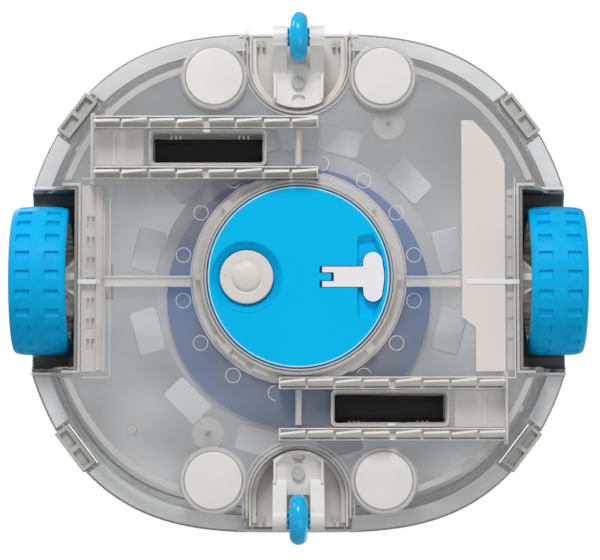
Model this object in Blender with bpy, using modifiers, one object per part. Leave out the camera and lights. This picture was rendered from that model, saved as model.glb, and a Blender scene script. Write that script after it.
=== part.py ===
"""Cordless robotic pool cleaner, standing on its wheels.

Metres, +Z up. The origin is on the ground, midway between the wheels. X runs along the wheel axles,
-Y is the front. The front half of the running gear is the rear half turned by 180 degrees.
"""

import math

import bmesh
import bpy
from mathutils import Matrix, Vector

# Driving sizes.
HALF_X = 0.1970
HALF_Y = 0.1755
POWER_X = 3.3
POWER_Y = 1.8
OUTLINE_SIDES = 40
GAP = 0.0003
FLOOR = 0.0280
FLOOR_TOP = 0.0305
RIM_LOW = 0.0520
RIM_TOP = 0.0600
COVER_TOP = 0.1600

WHEEL_RADIUS = 0.0520
TYRE_WIDTH = 0.0392
TYRE_INNER_X = 0.1597
ARCH_X = 0.1533
ARCH_Y = 0.0637
ARCH_WALL = 0.0020
FENDER_WALL = 0.0045
AXLE_RADIUS = 0.0050

POD_RADIUS = 0.0633
POD_LOW = 0.0195
HOUSING_RADIUS = 0.0600
HOUSING_TOP = 0.1050
PORT_X = -0.0359
HANDLE_PIN_X = 0.0188
HANDLE_PIN_Z = 0.0222

INLET_LOW = (-0.1034, -0.1028)
INLET_HIGH = (-0.0226, -0.0780)
DUCT_WALL = 0.0022
DUCT_Z = (0.0245, 0.0560)
FLAP_HINGE_Y = -0.0975
FLAP_HINGE_Z = 0.0455
WIPER_X = (-0.1415, 0.0130)
WIPER_OUTER_Y = -0.1084
WIPER_INNER_Y = -0.0730
WIPER_LOW = 0.0070
PADDLES = 8

CAP_X = 0.0586
CAP_Y = 0.1403
CAP_RADIUS = 0.0200

PIVOT_Y = 0.1360
ROLLER_Y = 0.1670
ROLLER_RADIUS = 0.0173
ROLLER_Z = 0.0175
POCKET_RADIUS = 0.0346
POCKET_Y = 0.1510
POCKET_TOP = 0.0500

CLIP_X = 0.1554
CLIP_Y = 0.1167
CLIP_LENGTH = 0.0330
CLIP_PIN_OUT = -0.0025
CLIP_PIN_Z = 0.0545

NECK_RADIUS = 0.0330
TOWER_RADIUS = 0.0500
DIVERTER_Z = 0.1825
BAIL_Z = 0.1655
BAIL_RADIUS = 0.0540

# Skin sections as (inset from the outline, height), from the middle of the underside to the rim.
TRAY_OUTER = [(0.026, FLOOR), (0.019, 0.0305), (0.015, 0.038), (0.0135, 0.0495), (0.010, RIM_LOW),
              (0.003, RIM_LOW), (0.0, 0.0545), (0.0, RIM_TOP)]
TRAY_INNER = [(0.0025, RIM_TOP), (0.0025, 0.0570), (0.0125, 0.0570), (0.0162, 0.0505), (0.0178, 0.0390),
              (0.0215, 0.0330), (0.028, FLOOR_TOP)]
# From the rim to the middle of the top.
COVER_OUTER = [(0.0, 0.0603), (0.0, 0.0645), (0.0105, 0.0675), (0.0155, 0.1010), (0.0270, 0.1280),
               (0.0500, 0.1470), (0.0860, 0.1570), (0.1250, COVER_TOP)]
COVER_INNER = [(0.0125, 0.0603), (0.0185, 0.1005), (0.0298, 0.1265), (0.0522, 0.1448), (0.0872, 0.1542),
               (0.1250, 0.1572)]
# The steeper flank over a wheel, from the rim up.
FENDER = [(0.0002, 0.0603), (0.0002, 0.0660), (0.0012, 0.0900), (0.0030, 0.1080), (0.0060, 0.1230)]

LOOKS = {
    "clear_tray": ((0.80, 0.81, 0.80), 0.15, 0.0),
    "white_plastic": ((0.88, 0.87, 0.85), 0.45, 0.0),
    "grey_plastic": ((0.66, 0.65, 0.62), 0.50, 0.0),
    "dark_plastic": ((0.13, 0.13, 0.13), 0.55, 0.0),
    "blue_plastic": ((0.0, 0.42, 0.80), 0.30, 0.0),
    "blue_rubber": ((0.0, 0.36, 0.70), 0.55, 0.0),
    "black_rubber": ((0.02, 0.02, 0.02), 0.60, 0.0),
    "lever_white": ((0.93, 0.92, 0.94), 0.35, 0.0),
    "steel": ((0.62, 0.62, 0.63), 0.30, 1.0),
    "board_green": ((0.03, 0.20, 0.08), 0.50, 0.0),
    "battery_wrap": ((0.03, 0.09, 0.25), 0.40, 0.0),
    "mesh_screen": ((0.80, 0.82, 0.84), 0.60, 0.0),
}


# Scene and modelling helpers.

def clear_scene():
    for obj in list(bpy.data.objects):
        bpy.data.objects.remove(obj, do_unlink=True)


def new_collection(name, helpers_only=False):
    group = bpy.data.collections.new(name)
    bpy.context.scene.collection.children.link(group)
    group.hide_render = helpers_only
    return group


def make_material(name):
    colour, roughness, metallic = LOOKS[name]
    material = bpy.data.materials.new(name)
    material.use_nodes = True
    shader = material.node_tree.nodes["Principled BSDF"]
    shader.inputs["Base Color"].default_value = (*colour, 1.0)
    shader.inputs["Roughness"].default_value = roughness
    shader.inputs["Metallic"].default_value = metallic
    material.diffuse_color = (*colour, 1.0)
    return material


def add_object(name, data, look):
    """A part with the material named look, or a helper for a Boolean when look is None."""
    obj = bpy.data.objects.new(name, data)
    if look is None:
        CUTTERS.objects.link(obj)
        obj.hide_render = True
        obj.display_type = "WIRE"
        return obj
    PARTS.objects.link(obj)
    data.materials.append(MATERIALS[look])
    return obj


def add_mesh(name, bm, look, smooth=True):
    bmesh.ops.recalc_face_normals(bm, faces=bm.faces)
    mesh = bpy.data.meshes.new(name)
    bm.to_mesh(mesh)
    bm.free()
    if smooth:
        mesh.shade_smooth()
        mesh.set_sharp_from_angle(angle=math.radians(35))
    return add_object(name, mesh, look)


def box(name, low, high, look=None):
    """A box between two corners."""
    bm = bmesh.new()
    bmesh.ops.create_cube(bm, size=1.0)
    bmesh.ops.scale(bm, vec=[b - a for a, b in zip(low, high)], verts=bm.verts)
    obj = add_mesh(name, bm, look, smooth=False)
    obj.location = [(a + b) / 2 for a, b in zip(low, high)]
    return obj


def rod(name, radius, start, end, look=None, sides=32, end_radius=None):
    """A cylinder, or a cone, between two points."""
    start, end = Vector(start), Vector(end)
    bm = bmesh.new()
    far = radius if end_radius is None else end_radius
    length = (end - start).length
    bmesh.ops.create_cone(bm, cap_ends=True, segments=sides, radius1=radius, radius2=far, depth=length)
    obj = add_mesh(name, bm, look)
    turn = (end - start).to_track_quat("Z", "Y").to_matrix().to_4x4()
    obj.matrix_world = Matrix.Translation((start + end) / 2) @ turn
    return obj


def turned(name, profile, look=None, steps=48, closed=False):
    """A turned shape about Z. The (radius, height) profile runs down its outer side."""
    mesh = bpy.data.meshes.new(name)
    points = [(radius, 0.0, height) for radius, height in profile]
    edges = [(i, i + 1) for i in range(len(points) - 1)]
    if closed:
        edges.append((len(points) - 1, 0))
    mesh.from_pydata(points, edges, [])
    obj = add_object(name, mesh, look)
    screw = obj.modifiers.new("turn", "SCREW")
    screw.steps = steps
    screw.render_steps = steps
    screw.use_merge_vertices = True
    screw.merge_threshold = 0.00005
    screw.use_smooth_shade = True
    return obj


def plate(name, outline, low, high, look=None):
    """A flat outline of (x, y) points, filled and extruded from height low to height high."""
    curve = bpy.data.curves.new(name, "CURVE")
    curve.dimensions = "2D"
    curve.fill_mode = "BOTH"
    curve.extrude = (high - low) / 2
    spline = curve.splines.new("POLY")
    spline.points.add(len(outline) - 1)
    for point, (x, y) in zip(spline.points, outline):
        point.co = (x, y, 0.0, 1.0)
    spline.use_cyclic_u = True
    drawn = bpy.data.objects.new(name + "_outline", curve)
    CUTTERS.objects.link(drawn)
    bpy.context.view_layer.update()
    evaluated = drawn.evaluated_get(bpy.context.evaluated_depsgraph_get())
    mesh = bpy.data.meshes.new_from_object(evaluated)
    mesh.name = name
    bpy.data.objects.remove(drawn)
    bm = bmesh.new()
    bm.from_mesh(mesh)
    bmesh.ops.remove_doubles(bm, verts=bm.verts, dist=0.00001)
    bpy.data.meshes.remove(mesh)
    obj = add_mesh(name, bm, look)
    obj.location.z = (low + high) / 2
    return obj


def upright(name, outline, low, high, look=None):
    """A side view of (y, z) points, extruded along X from low to high."""
    side_view = plate(name, outline, low, high, look)
    place(Matrix(((0, 0, 1, 0), (1, 0, 0, 0), (0, 1, 0, 0), (0, 0, 0, 1))), side_view)
    return side_view


def body_outline(inset):
    """The rounded-square outline of the body, moved in by inset."""
    points = []
    for step in range(OUTLINE_SIDES):
        angle = 2 * math.pi * step / OUTLINE_SIDES
        across = abs(math.cos(angle)) ** (2 / POWER_X)
        along = abs(math.sin(angle)) ** (2 / POWER_Y)
        x = math.copysign(across * (HALF_X - inset), math.cos(angle))
        y = math.copysign(along * (HALF_Y - inset), math.sin(angle))
        points.append((x, y))
    return points


def body_loft(name, sections, look=None):
    """A closed skin through outlines of the body, each given as (inset, height)."""
    bm = bmesh.new()
    rings = [[bm.verts.new((x, y, z)) for x, y in body_outline(inset)] for inset, z in sections]
    for near, far in zip(rings, rings[1:]):
        for i in range(OUTLINE_SIDES):
            j = (i + 1) % OUTLINE_SIDES
            bm.faces.new((near[i], near[j], far[j], far[i]))
    bm.faces.new(rings[0])
    bm.faces.new(rings[-1])
    return add_mesh(name, bm, look)


def boolean(target, operation, tools):
    for tool in tools:
        step = target.modifiers.new(tool.name, "BOOLEAN")
        step.operation = operation
        step.object = tool


def cut(target, *tools):
    boolean(target, "DIFFERENCE", tools)
    return target


def join(target, *tools):
    boolean(target, "UNION", tools)
    return target


def soften(obj, width, segments=2):
    bevel = obj.modifiers.new("soft edges", "BEVEL")
    bevel.width = width
    bevel.segments = segments
    bevel.limit_method = "ANGLE"
    return obj


def place(matrix, *objects):
    """Moves objects, with the helpers of their Booleans."""
    for obj in objects:
        bpy.context.view_layer.update()
        obj.matrix_world = matrix @ obj.matrix_world
        for step in obj.modifiers:
            if step.type == "BOOLEAN":
                place(matrix, step.object)


def hang(name, pivot, *parts):
    """Parents parts to an empty on their joint's axis, and leaves them where they are."""
    empty = bpy.data.objects.new(name + "_axis", None)
    PARTS.objects.link(empty)
    empty.empty_display_size = 0.01
    empty.location = pivot
    bpy.context.view_layer.update()
    for part in parts:
        part.parent = empty
        part.matrix_parent_inverse = empty.matrix_world.inverted()


# Outlines.

def arc(x, y, radius, start, end, steps=8):
    angles = [math.radians(start + (end - start) * i / steps) for i in range(steps + 1)]
    return [(x + radius * math.cos(a), y + radius * math.sin(a)) for a in angles]


def rounded_rectangle(low, high, radius, steps=4):
    left, right = low[0] + radius, high[0] - radius
    near, far = low[1] + radius, high[1] - radius
    return (arc(left, near, radius, 180, 270, steps) + arc(right, near, radius, 270, 360, steps)
            + arc(right, far, radius, 0, 90, steps) + arc(left, far, radius, 90, 180, steps))


def well_outline(margin, foot=0.0):
    """Side view of a wheel well, grown by margin: an arch over the wheel, from height foot up."""
    reach = ARCH_Y + margin
    return [(reach, foot)] + arc(0.0, WHEEL_RADIUS, reach, 0, 180, 18) + [(-reach, foot)]


def pocket_outline(radius, far_y):
    """The D of a guide pocket: round at its inner end, open toward the rim."""
    return arc(0.0, POCKET_Y, radius, 180, 360, 14) + [(radius, far_y), (-radius, far_y)]


def grown(low, high, margin):
    """The two corners of a box, each moved out by margin."""
    return [a - margin for a in low], [b + margin for b in high]


HALF_TURN = Matrix.Rotation(math.pi, 4, "Z")
ENDS = {"rear": Matrix.Identity(4), "front": HALF_TURN}
INLETS = {"front": Matrix.Identity(4), "rear": HALF_TURN}
SIDES = {"right": Matrix.Identity(4), "left": HALF_TURN}
CORNERS = [(1, 1), (-1, 1), (-1, -1), (1, -1)]


def clip_frame(side_x, side_y):
    """Where a side clip sits: X along the rim, Y outward."""
    across = POWER_X * (CLIP_X / HALF_X) ** (POWER_X - 1) / HALF_X
    along = POWER_Y * (CLIP_Y / HALF_Y) ** (POWER_Y - 1) / HALF_Y
    outward = math.atan2(side_y * along, side_x * across)
    spot = Matrix.Translation((side_x * CLIP_X, side_y * CLIP_Y, 0.0))
    return spot @ Matrix.Rotation(outward - math.pi / 2, 4, "Z")


# Casing.

def tray_additions():
    """Bosses, pocket walls and ribs that stand on the tray's skin."""
    added = []
    for side_x, side_y in CORNERS:
        x, y = side_x * CAP_X, side_y * CAP_Y
        added.append(rod("cap_boss", CAP_RADIUS + 0.0029, (x, y, 0.0232), (x, y, 0.0541), sides=24))
    for turn in ENDS.values():
        wall = plate("pocket_wall", pocket_outline(POCKET_RADIUS + 0.0025, 0.1734), 0.0291, 0.0535)
        place(turn, wall)
        added.append(wall)
    for turn in INLETS.values():
        apron = box("inlet_apron", (-0.1438, -0.1128, 0.02815), (-0.110, -0.0672, 0.0335))
        end_wall = box("inlet_end_wall", (-0.1437, -0.1127, 0.0185), (-0.1419, -0.0673, 0.0312))
        cross_rib = box("cross_rib", (-0.0013, -0.1010, 0.0200), (0.0013, -0.0790, 0.0291))
        place(turn, apron, end_wall, cross_rib)
        added += [apron, end_wall, cross_rib]
    for turn in SIDES.values():
        rib = box("radial_rib", (0.0742, -0.0030, 0.0222), (0.1335, 0.0030, 0.0292))
        place(turn, rib)
        added.append(rib)
    return added


def tray_cuts():
    cuts = [rod("pod_hole", HOUSING_RADIUS + 0.0010, (0, 0, 0.010), (0, 0, 0.040), sides=48)]
    for turn in SIDES.values():
        well = upright("wheel_well", well_outline(GAP), ARCH_X - GAP, 0.21)
        place(turn, well)
        cuts.append(well)
    for turn in INLETS.values():
        low, high = grown(INLET_LOW, INLET_HIGH, GAP)
        hole = plate("inlet_hole", rounded_rectangle(low, high, 0.0035), 0.010, 0.050)
        place(turn, hole)
        cuts.append(hole)
    for turn in ENDS.values():
        pocket = plate("guide_pocket", pocket_outline(POCKET_RADIUS, 0.200), 0.010, POCKET_TOP)
        screw_hole = rod("pivot_hole", 0.0028, (0, PIVOT_Y, 0.045), (0, PIVOT_Y, 0.060), sides=16)
        place(turn, pocket, screw_hole)
        cuts += [pocket, screw_hole]
    for side_x, side_y in CORNERS:
        x, y = side_x * CAP_X, side_y * CAP_Y
        cuts.append(rod("cap_seat", CAP_RADIUS + GAP, (x, y, 0.015), (x, y, 0.0345), sides=24))
    return cuts + clip_notches(0.040)


def clip_notches(low):
    """Rim cut-outs for the side clips, with the holes for the clips' trunnions."""
    cuts = []
    half = CLIP_LENGTH / 2
    for corner in CORNERS:
        notch = box("clip_notch", (-half - 0.0006, -0.0062, low), (half + 0.0006, 0.0200, 0.0800))
        pin_hole = rod("clip_pin_hole", 0.0014, (-half - 0.0030, CLIP_PIN_OUT, CLIP_PIN_Z),
                       (half + 0.0030, CLIP_PIN_OUT, CLIP_PIN_Z), sides=12)
        place(clip_frame(*corner), notch, pin_hole)
        cuts += [notch, pin_hole]
    return cuts


def bottom_tray():
    tray = body_loft("bottom_tray", TRAY_OUTER + TRAY_INNER, "clear_tray")
    join(tray, *tray_additions())
    cut(tray, *tray_cuts())


def fender(turn):
    """The bulge of the cover over a wheel, before the wheel well is cut out of it."""
    bulge = body_loft("fender", FENDER)
    reach = upright("fender_reach", well_outline(FENDER_WALL, 0.05), 0.1600, 0.21)
    boolean(bulge, "INTERSECT", [reach])
    place(turn, bulge)
    return bulge


def top_cover():
    cover = body_loft("top_cover", COVER_OUTER[::-1] + COVER_INNER, "white_plastic")
    join(cover, *[fender(turn) for turn in SIDES.values()])
    for side_x, side_y in CORNERS:
        x, y = side_x * 0.078, side_y * 0.076
        join(cover, rod("filter_post", 0.0040, (x, y, 0.0696), (x, y, 0.1550), sides=12))
    cut(cover, rod("neck_hole", NECK_RADIUS + 0.0028, (0, 0, 0.150), (0, 0, 0.170), sides=48))
    for turn in SIDES.values():
        well = upright("cover_well", well_outline(GAP), ARCH_X - GAP, 0.21)
        lug = soften(box("bail_lug", (0.0656, -0.0055, 0.1560), (0.0706, 0.0055, 0.1712)), 0.0010)
        bore = rod("bail_bore", 0.0022, (0.060, 0, BAIL_Z), (0.080, 0, BAIL_Z), sides=16)
        place(turn, well, lug, bore)
        join(cover, lug)
        cut(cover, bore, well)
    cut(cover, *clip_notches(0.050))
    return cover


def wheel_arch(side, turn):
    """The lining of a wheel well, flush with the outside of the tray and of the fender."""
    envelope = body_loft("body_outside", [(inset + GAP, z) for inset, z in TRAY_OUTER + FENDER[1:]])
    arch = upright("wheel_arch_" + side, well_outline(0.0, 0.02), ARCH_X, 0.20, "dark_plastic")
    boolean(arch, "INTERSECT", [envelope])
    inside = upright("arch_inside", well_outline(-ARCH_WALL), ARCH_X + ARCH_WALL, 0.25)
    hole = rod("axle_hole", AXLE_RADIUS + GAP, (0.14, 0, WHEEL_RADIUS), (0.17, 0, WHEEL_RADIUS), sides=24)
    cut(arch, inside, hole)
    place(turn, arch)


def side_baffles():
    """Flat panels on the tray's floor beside each wheel well."""
    box("side_baffle_left", (-0.1505, -0.0640, FLOOR_TOP + GAP), (-0.1355, 0.0640, 0.0355), "grey_plastic")
    notched = [(0.1130, -0.1100), (0.1210, -0.1100), (0.1320, -0.0990), (0.1390, -0.0890), (0.1475, -0.0720),
               (0.1480, 0.0640), (0.1225, 0.0640), (0.1225, 0.0340), (0.1130, 0.0270)]
    plate("side_baffle_right", notched, FLOOR_TOP + GAP, 0.0355, "white_plastic")


# Main wheels.

def along_x(obj, centre):
    """Turns a piece made about Z so that its axis lies along X."""
    place(Matrix.Translation(centre) @ Matrix.Rotation(math.pi / 2, 4, "Y"), obj)


def tyre_profile():
    half = TYRE_WIDTH / 2
    crown = [(WHEEL_RADIUS - 0.0022 * (i / 4) ** 2, half * -i / 4) for i in (-3, -1, 1, 3)]
    shoulders = [(WHEEL_RADIUS - 0.0030, half), *crown, (WHEEL_RADIUS - 0.0030, -half)]
    return shoulders + [(0.0440, -half), (0.0440, half)]


def hub_profile():
    """Rim, web and sleeve of a wheel hub, as one closed loop."""
    rim, rim_inner, sleeve, bore = 0.0437, 0.0402, 0.0098, AXLE_RADIUS + GAP
    return [(rim, 0.0195), (rim, -0.0190), (rim_inner, -0.0190), (rim_inner, -0.0025), (sleeve, -0.0025),
            (sleeve, -0.0230), (bore, -0.0230), (bore, 0.0165), (sleeve, 0.0165), (sleeve, 0.0015),
            (rim_inner, 0.0015), (rim_inner, 0.0195)]


def wheel(side, turn):
    centre = (TYRE_INNER_X + TYRE_WIDTH / 2, 0.0, WHEEL_RADIUS)
    tyre = turned("tyre_" + side, tyre_profile(), "blue_rubber", steps=36, closed=True)
    hub = turned("wheel_hub_" + side, hub_profile(), "grey_plastic", steps=28, closed=True)
    for i in range(6):
        window = box("hub_window", (0.0150, -0.0085, -0.010), (0.0365, 0.0085, 0.010))
        place(Matrix.Rotation(math.radians(60 * i), 4, "Z"), window)
        cut(hub, window)
    head = AXLE_RADIUS + 0.0035
    axle = turned("axle_" + side, [(0, 0.0190), (head, 0.0190), (head, 0.0170), (AXLE_RADIUS, 0.0170),
                                   (AXLE_RADIUS, -0.0475), (0, -0.0475)], "steel", steps=16)
    for piece in (tyre, hub, axle):
        along_x(piece, centre)
    block = box("axle_block_" + side, (0.1305, -0.0120, 0.0360), (0.1528, 0.0120, 0.0660), "grey_plastic")
    bore_start, bore_end = (0.12, 0, WHEEL_RADIUS), (0.16, 0, WHEEL_RADIUS)
    cut(block, rod("block_bore", AXLE_RADIUS + GAP, bore_start, bore_end, sides=24))
    place(turn, tyre, hub, axle, block)
    hang("wheel_" + side, turn @ Vector(centre), tyre, hub)


# Front and rear guide units.

def arm_outline():
    """Side view of a bracket arm, as (y, z)."""
    return ([(0.1400, 0.0340), (0.1400, 0.0300), (0.1460, 0.0292)]
            + arc(ROLLER_Y, ROLLER_Z, 0.0075, 215, 360, 6) + [(0.1745, 0.0340)])


def guide_bracket(end):
    inner_end = [(0.0173 * i / 4, 0.1208 + 0.0047 * (i / 4) ** 2) for i in range(-4, 5)]
    base = plate("guide_bracket_" + end, inner_end + [(0.0173, 0.1470), (-0.0173, 0.1470)],
                 0.0300, 0.0340, "grey_plastic")
    arm = []
    for low in (0.0081, -0.0178):
        arm.append(upright("bracket_arm", arm_outline(), low, low + 0.0097))
    edge = [box("bracket_edge", (x, 0.1262, 0.0272), (x + 0.0022, 0.1410, 0.0320)) for x in (-0.0173, 0.0151)]
    boss = rod("pivot_boss", 0.0080, (0, PIVOT_Y, 0.0335), (0, PIVOT_Y, POCKET_TOP - GAP), sides=16)
    join(base, *arm, *edge, boss)
    bore = rod("pivot_bore", 0.0028, (0, PIVOT_Y, 0.020), (0, PIVOT_Y, 0.060), sides=16)
    slot = rod("stop_slot", 0.0030, (0, 0.1255, 0.020), (0, 0.1255, 0.040), sides=16)
    pin_bore = rod("pin_bore", 0.0017, (-0.03, ROLLER_Y, ROLLER_Z), (0.03, ROLLER_Y, ROLLER_Z), sides=12)
    return cut(base, bore, slot, pin_bore)


def roller(end):
    edge = ROLLER_RADIUS
    tread = [(edge - 0.0062 * (1 - math.cos(math.radians(a))), 0.0060 * math.sin(math.radians(a)))
             for a in range(90, -91, -30)]
    side = [(0.0036, 0.0078), (0.0052, 0.0066), (0.0060, 0.0060)]
    other_side = [(radius, -x) for radius, x in reversed(side)]
    profile = side + tread + other_side + [(0.0018, -0.0078), (0.0018, 0.0078)]
    wheel_piece = turned("roller_" + end, profile, "blue_plastic", steps=20, closed=True)
    along_x(wheel_piece, (0.0, ROLLER_Y, ROLLER_Z))
    return wheel_piece


def guide_unit(end, turn):
    bracket = guide_bracket(end)
    wheel_piece = roller(end)
    pin = rod("roller_pin_" + end, 0.0014, (-0.0170, ROLLER_Y, ROLLER_Z), (0.0170, ROLLER_Y, ROLLER_Z),
              "steel", sides=12)
    screw = turned("pivot_screw_" + end, [(0, 0.0525), (0.0025, 0.0525), (0.0025, 0.0296), (0.0045, 0.0296),
                                          (0.0045, 0.0280), (0.0038, 0.0272), (0, 0.0272)], "steel", steps=14)
    screw.location.y = PIVOT_Y
    place(turn, bracket, wheel_piece, pin, screw)
    hang("guide_" + end, turn @ Vector((0, PIVOT_Y, POCKET_TOP)), bracket, pin)
    hang("roller_" + end, turn @ Vector((0, ROLLER_Y, ROLLER_Z)), wheel_piece)


# Inlets.

def inlet_duct(end):
    walls = rounded_rectangle(INLET_LOW, INLET_HIGH, 0.0032)
    duct = plate("inlet_duct_" + end, walls, DUCT_Z[0], DUCT_Z[1], "grey_plastic")
    low, high = grown(INLET_LOW, INLET_HIGH, -DUCT_WALL)
    throat = plate("inlet_throat", rounded_rectangle(low, high, 0.0015), 0.010, 0.070)
    pins = rod("flap_pin_hole", 0.0013, (-0.12, FLAP_HINGE_Y, FLAP_HINGE_Z),
               (0.0, FLAP_HINGE_Y, FLAP_HINGE_Z), sides=12)
    return cut(duct, throat, pins)


def inlet_flap(end):
    left, right = INLET_LOW[0] + DUCT_WALL + 0.0006, INLET_HIGH[0] - DUCT_WALL - 0.0006
    leaf_far = INLET_HIGH[1] - DUCT_WALL - 0.0006
    leaf = box("inlet_flap_" + end, (left, FLAP_HINGE_Y, FLAP_HINGE_Z - 0.0008),
               (right, leaf_far, FLAP_HINGE_Z + 0.0008), "black_rubber")
    knuckle = rod("flap_knuckle", 0.0017, (left + 0.0002, FLAP_HINGE_Y, FLAP_HINGE_Z),
                  (right - 0.0002, FLAP_HINGE_Y, FLAP_HINGE_Z), sides=12)
    pin = rod("flap_pin", 0.0010, (left - 0.0020, FLAP_HINGE_Y, FLAP_HINGE_Z),
              (right + 0.0020, FLAP_HINGE_Y, FLAP_HINGE_Z), sides=12)
    return join(leaf, knuckle, pin)


def wiper_slits(y):
    """The cuts between the paddles of a strip, the middle one wider."""
    left, right = WIPER_X
    middle_gap, slit, root = 0.0040, 0.0014, 0.0215
    length = (right - left - middle_gap - (PADDLES - 2) * slit) / PADDLES
    slits = []
    x = left + length
    for i in range(1, PADDLES):
        width = middle_gap if i == PADDLES // 2 else slit
        slits.append(box("wiper_slit", (x, y - 0.01, 0.0), (x + width, y + 0.01, root)))
        x += width + length
    return slits


def wiper(name, y):
    """A rail with a row of paddles hanging from it."""
    strip = box(name, (WIPER_X[0], y - 0.0017, WIPER_LOW), (WIPER_X[1], y + 0.0017, 0.0250), "white_plastic")
    cut(strip, *wiper_slits(y))
    rail = box("wiper_rail", (WIPER_X[0] + GAP, y - 0.0045, 0.0235), (WIPER_X[1] - GAP, y + 0.0045, 0.0277))
    return join(strip, rail)


def inlet(end, turn):
    duct = inlet_duct(end)
    flap = inlet_flap(end)
    outer = wiper("wiper_outer_" + end, WIPER_OUTER_Y)
    inner = wiper("wiper_inner_" + end, WIPER_INNER_Y)
    place(turn, duct, flap, outer, inner)
    hinge = turn @ Vector(((INLET_LOW[0] + INLET_HIGH[0]) / 2, FLAP_HINGE_Y, FLAP_HINGE_Z))
    hang("inlet_flap_" + end, hinge, flap)


# Pod: battery, motor and charging port in one sealed unit.

def pull_handle_outline(margin, root_room):
    """The T of the pull handle with its forked root, grown by margin and longer at its root by root_room."""
    root, neck, stem = 0.0163 - root_room, 0.0445 - margin, 0.0070 + margin
    lobe = 0.0066 + margin
    head_x, head_y = neck + lobe + 0.0002, 0.0105
    outline = [(root, -stem), (neck, -stem)]
    outline += arc(head_x, -head_y, lobe, 180, 345, 5)
    outline += [(head_x + lobe + 0.0010, 0.0)]
    outline += arc(head_x, head_y, lobe, 15, 180, 5)
    half, fork_end = 0.0031 - margin, 0.0243 - root_room
    outline += [(neck, stem), (root, stem), (root, half), (fork_end, half), (fork_end, -half)]
    return outline + [(root, -half)]


def pod_cover():
    profile = [(0, FLOOR - GAP), (POD_RADIUS, FLOOR - GAP), (POD_RADIUS, POD_LOW + 0.0012),
               (POD_RADIUS - 0.0012, POD_LOW), (0, POD_LOW)]
    cover = turned("pod_cover", profile, "blue_plastic", steps=48)
    recess = rod("port_recess", 0.0249, (PORT_X, 0, POD_LOW - 0.0006), (PORT_X, 0, 0.0250), sides=32,
                 end_radius=0.0200)
    socket_hole = rod("socket_hole", 0.0123, (PORT_X, 0, 0.020), (PORT_X, 0, 0.032), sides=32)
    button_hole = rod("button_hole", 0.0022, (PORT_X, 0.0160, 0.020), (PORT_X, 0.0160, 0.032), sides=16)
    slot = plate("handle_slot", pull_handle_outline(0.0004, 0.0018), POD_LOW - 0.002, 0.0257)
    finger = arc(0, 0, 0.0598, -32, 32, 8) + [(0.0403, 0.0300), (0.0403, -0.0300)]
    finger_recess = plate("finger_recess", finger, POD_LOW - 0.002, 0.0247)
    pin_bore = rod("handle_pin_bore", 0.0011, (HANDLE_PIN_X, -0.0098, HANDLE_PIN_Z),
                   (HANDLE_PIN_X, 0.0098, HANDLE_PIN_Z), sides=12)
    cut(cover, recess, socket_hole, button_hole, slot, finger_recess, pin_bore)


def pull_handle():
    handle = plate("pull_handle", pull_handle_outline(0.0, 0.0), POD_LOW, 0.0236, "lever_white")
    cut(handle, rod("handle_bore", 0.0011, (HANDLE_PIN_X, -0.01, HANDLE_PIN_Z),
                    (HANDLE_PIN_X, 0.01, HANDLE_PIN_Z), sides=12))
    rod("pull_handle_pin", 0.0008, (HANDLE_PIN_X, -0.0095, HANDLE_PIN_Z),
        (HANDLE_PIN_X, 0.0095, HANDLE_PIN_Z), "steel", sides=12)
    hang("pull_handle", (HANDLE_PIN_X, 0, HANDLE_PIN_Z), handle)


def charging_port():
    dome = [(0.0103 * math.sin(math.radians(a)), 0.0199 - 0.0024 * math.cos(math.radians(a)))
            for a in range(75, -1, -25)]
    profile = ([(0, 0.0310), (0.0058, 0.0310), (0.0058, 0.0236), (0.0186, 0.0236), (0.0186, 0.0206),
                (0.0180, 0.0199), (0.0108, 0.0199)] + dome[:-1] + [(0, dome[-1][1])])
    cap = turned("charge_cap", profile, "grey_plastic", steps=28)
    socket = turned("charge_socket", [(0, 0.0395), (0.0119, 0.0395), (0.0119, 0.0242), (0.0062, 0.0242),
                                      (0.0062, 0.0350), (0, 0.0350)], "dark_plastic", steps=24)
    button = turned("power_button", [(0, 0.0290), (0.0019, 0.0290), (0.0019, 0.0245), (0, 0.0245)],
                    "lever_white", steps=16)
    for piece in (cap, socket, button):
        piece.location.x = PORT_X
    button.location.y = 0.0160
    hang("charge_cap", (PORT_X, 0, 0.0236), cap)
    hang("power_button", (PORT_X, 0.0160, 0.0245), button)


def retaining_ring():
    top, wing_low, low = FLOOR - GAP, 0.0264, 0.0205
    outer, body, inner = 0.0737, 0.0679, 0.0656
    profile = [(outer, top), (outer, wing_low), (body, wing_low), (body, low), (inner, low), (inner, top)]
    ring = turned("retaining_ring", profile, "clear_tray", steps=36, closed=True)
    for i in range(8):
        lug = box("ring_lug", (0.0667, -0.0020, 0.0215), (0.0712, 0.0020, 0.0270))
        place(Matrix.Rotation(math.radians(22.5 + 45 * i), 4, "Z"), lug)
        join(ring, lug)
    for turn in INLETS.values():
        clearance = box("rail_clearance", (-0.20, -0.09, 0.010), (0.0140, -0.0679, 0.030))
        place(turn, clearance)
        cut(ring, clearance)
    turned("pod_seal", [(0.0651, 0.0275), (0.0651, 0.0203), (0.0637, 0.0203), (0.0637, 0.0275)],
           "white_plastic", steps=36, closed=True)


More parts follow.
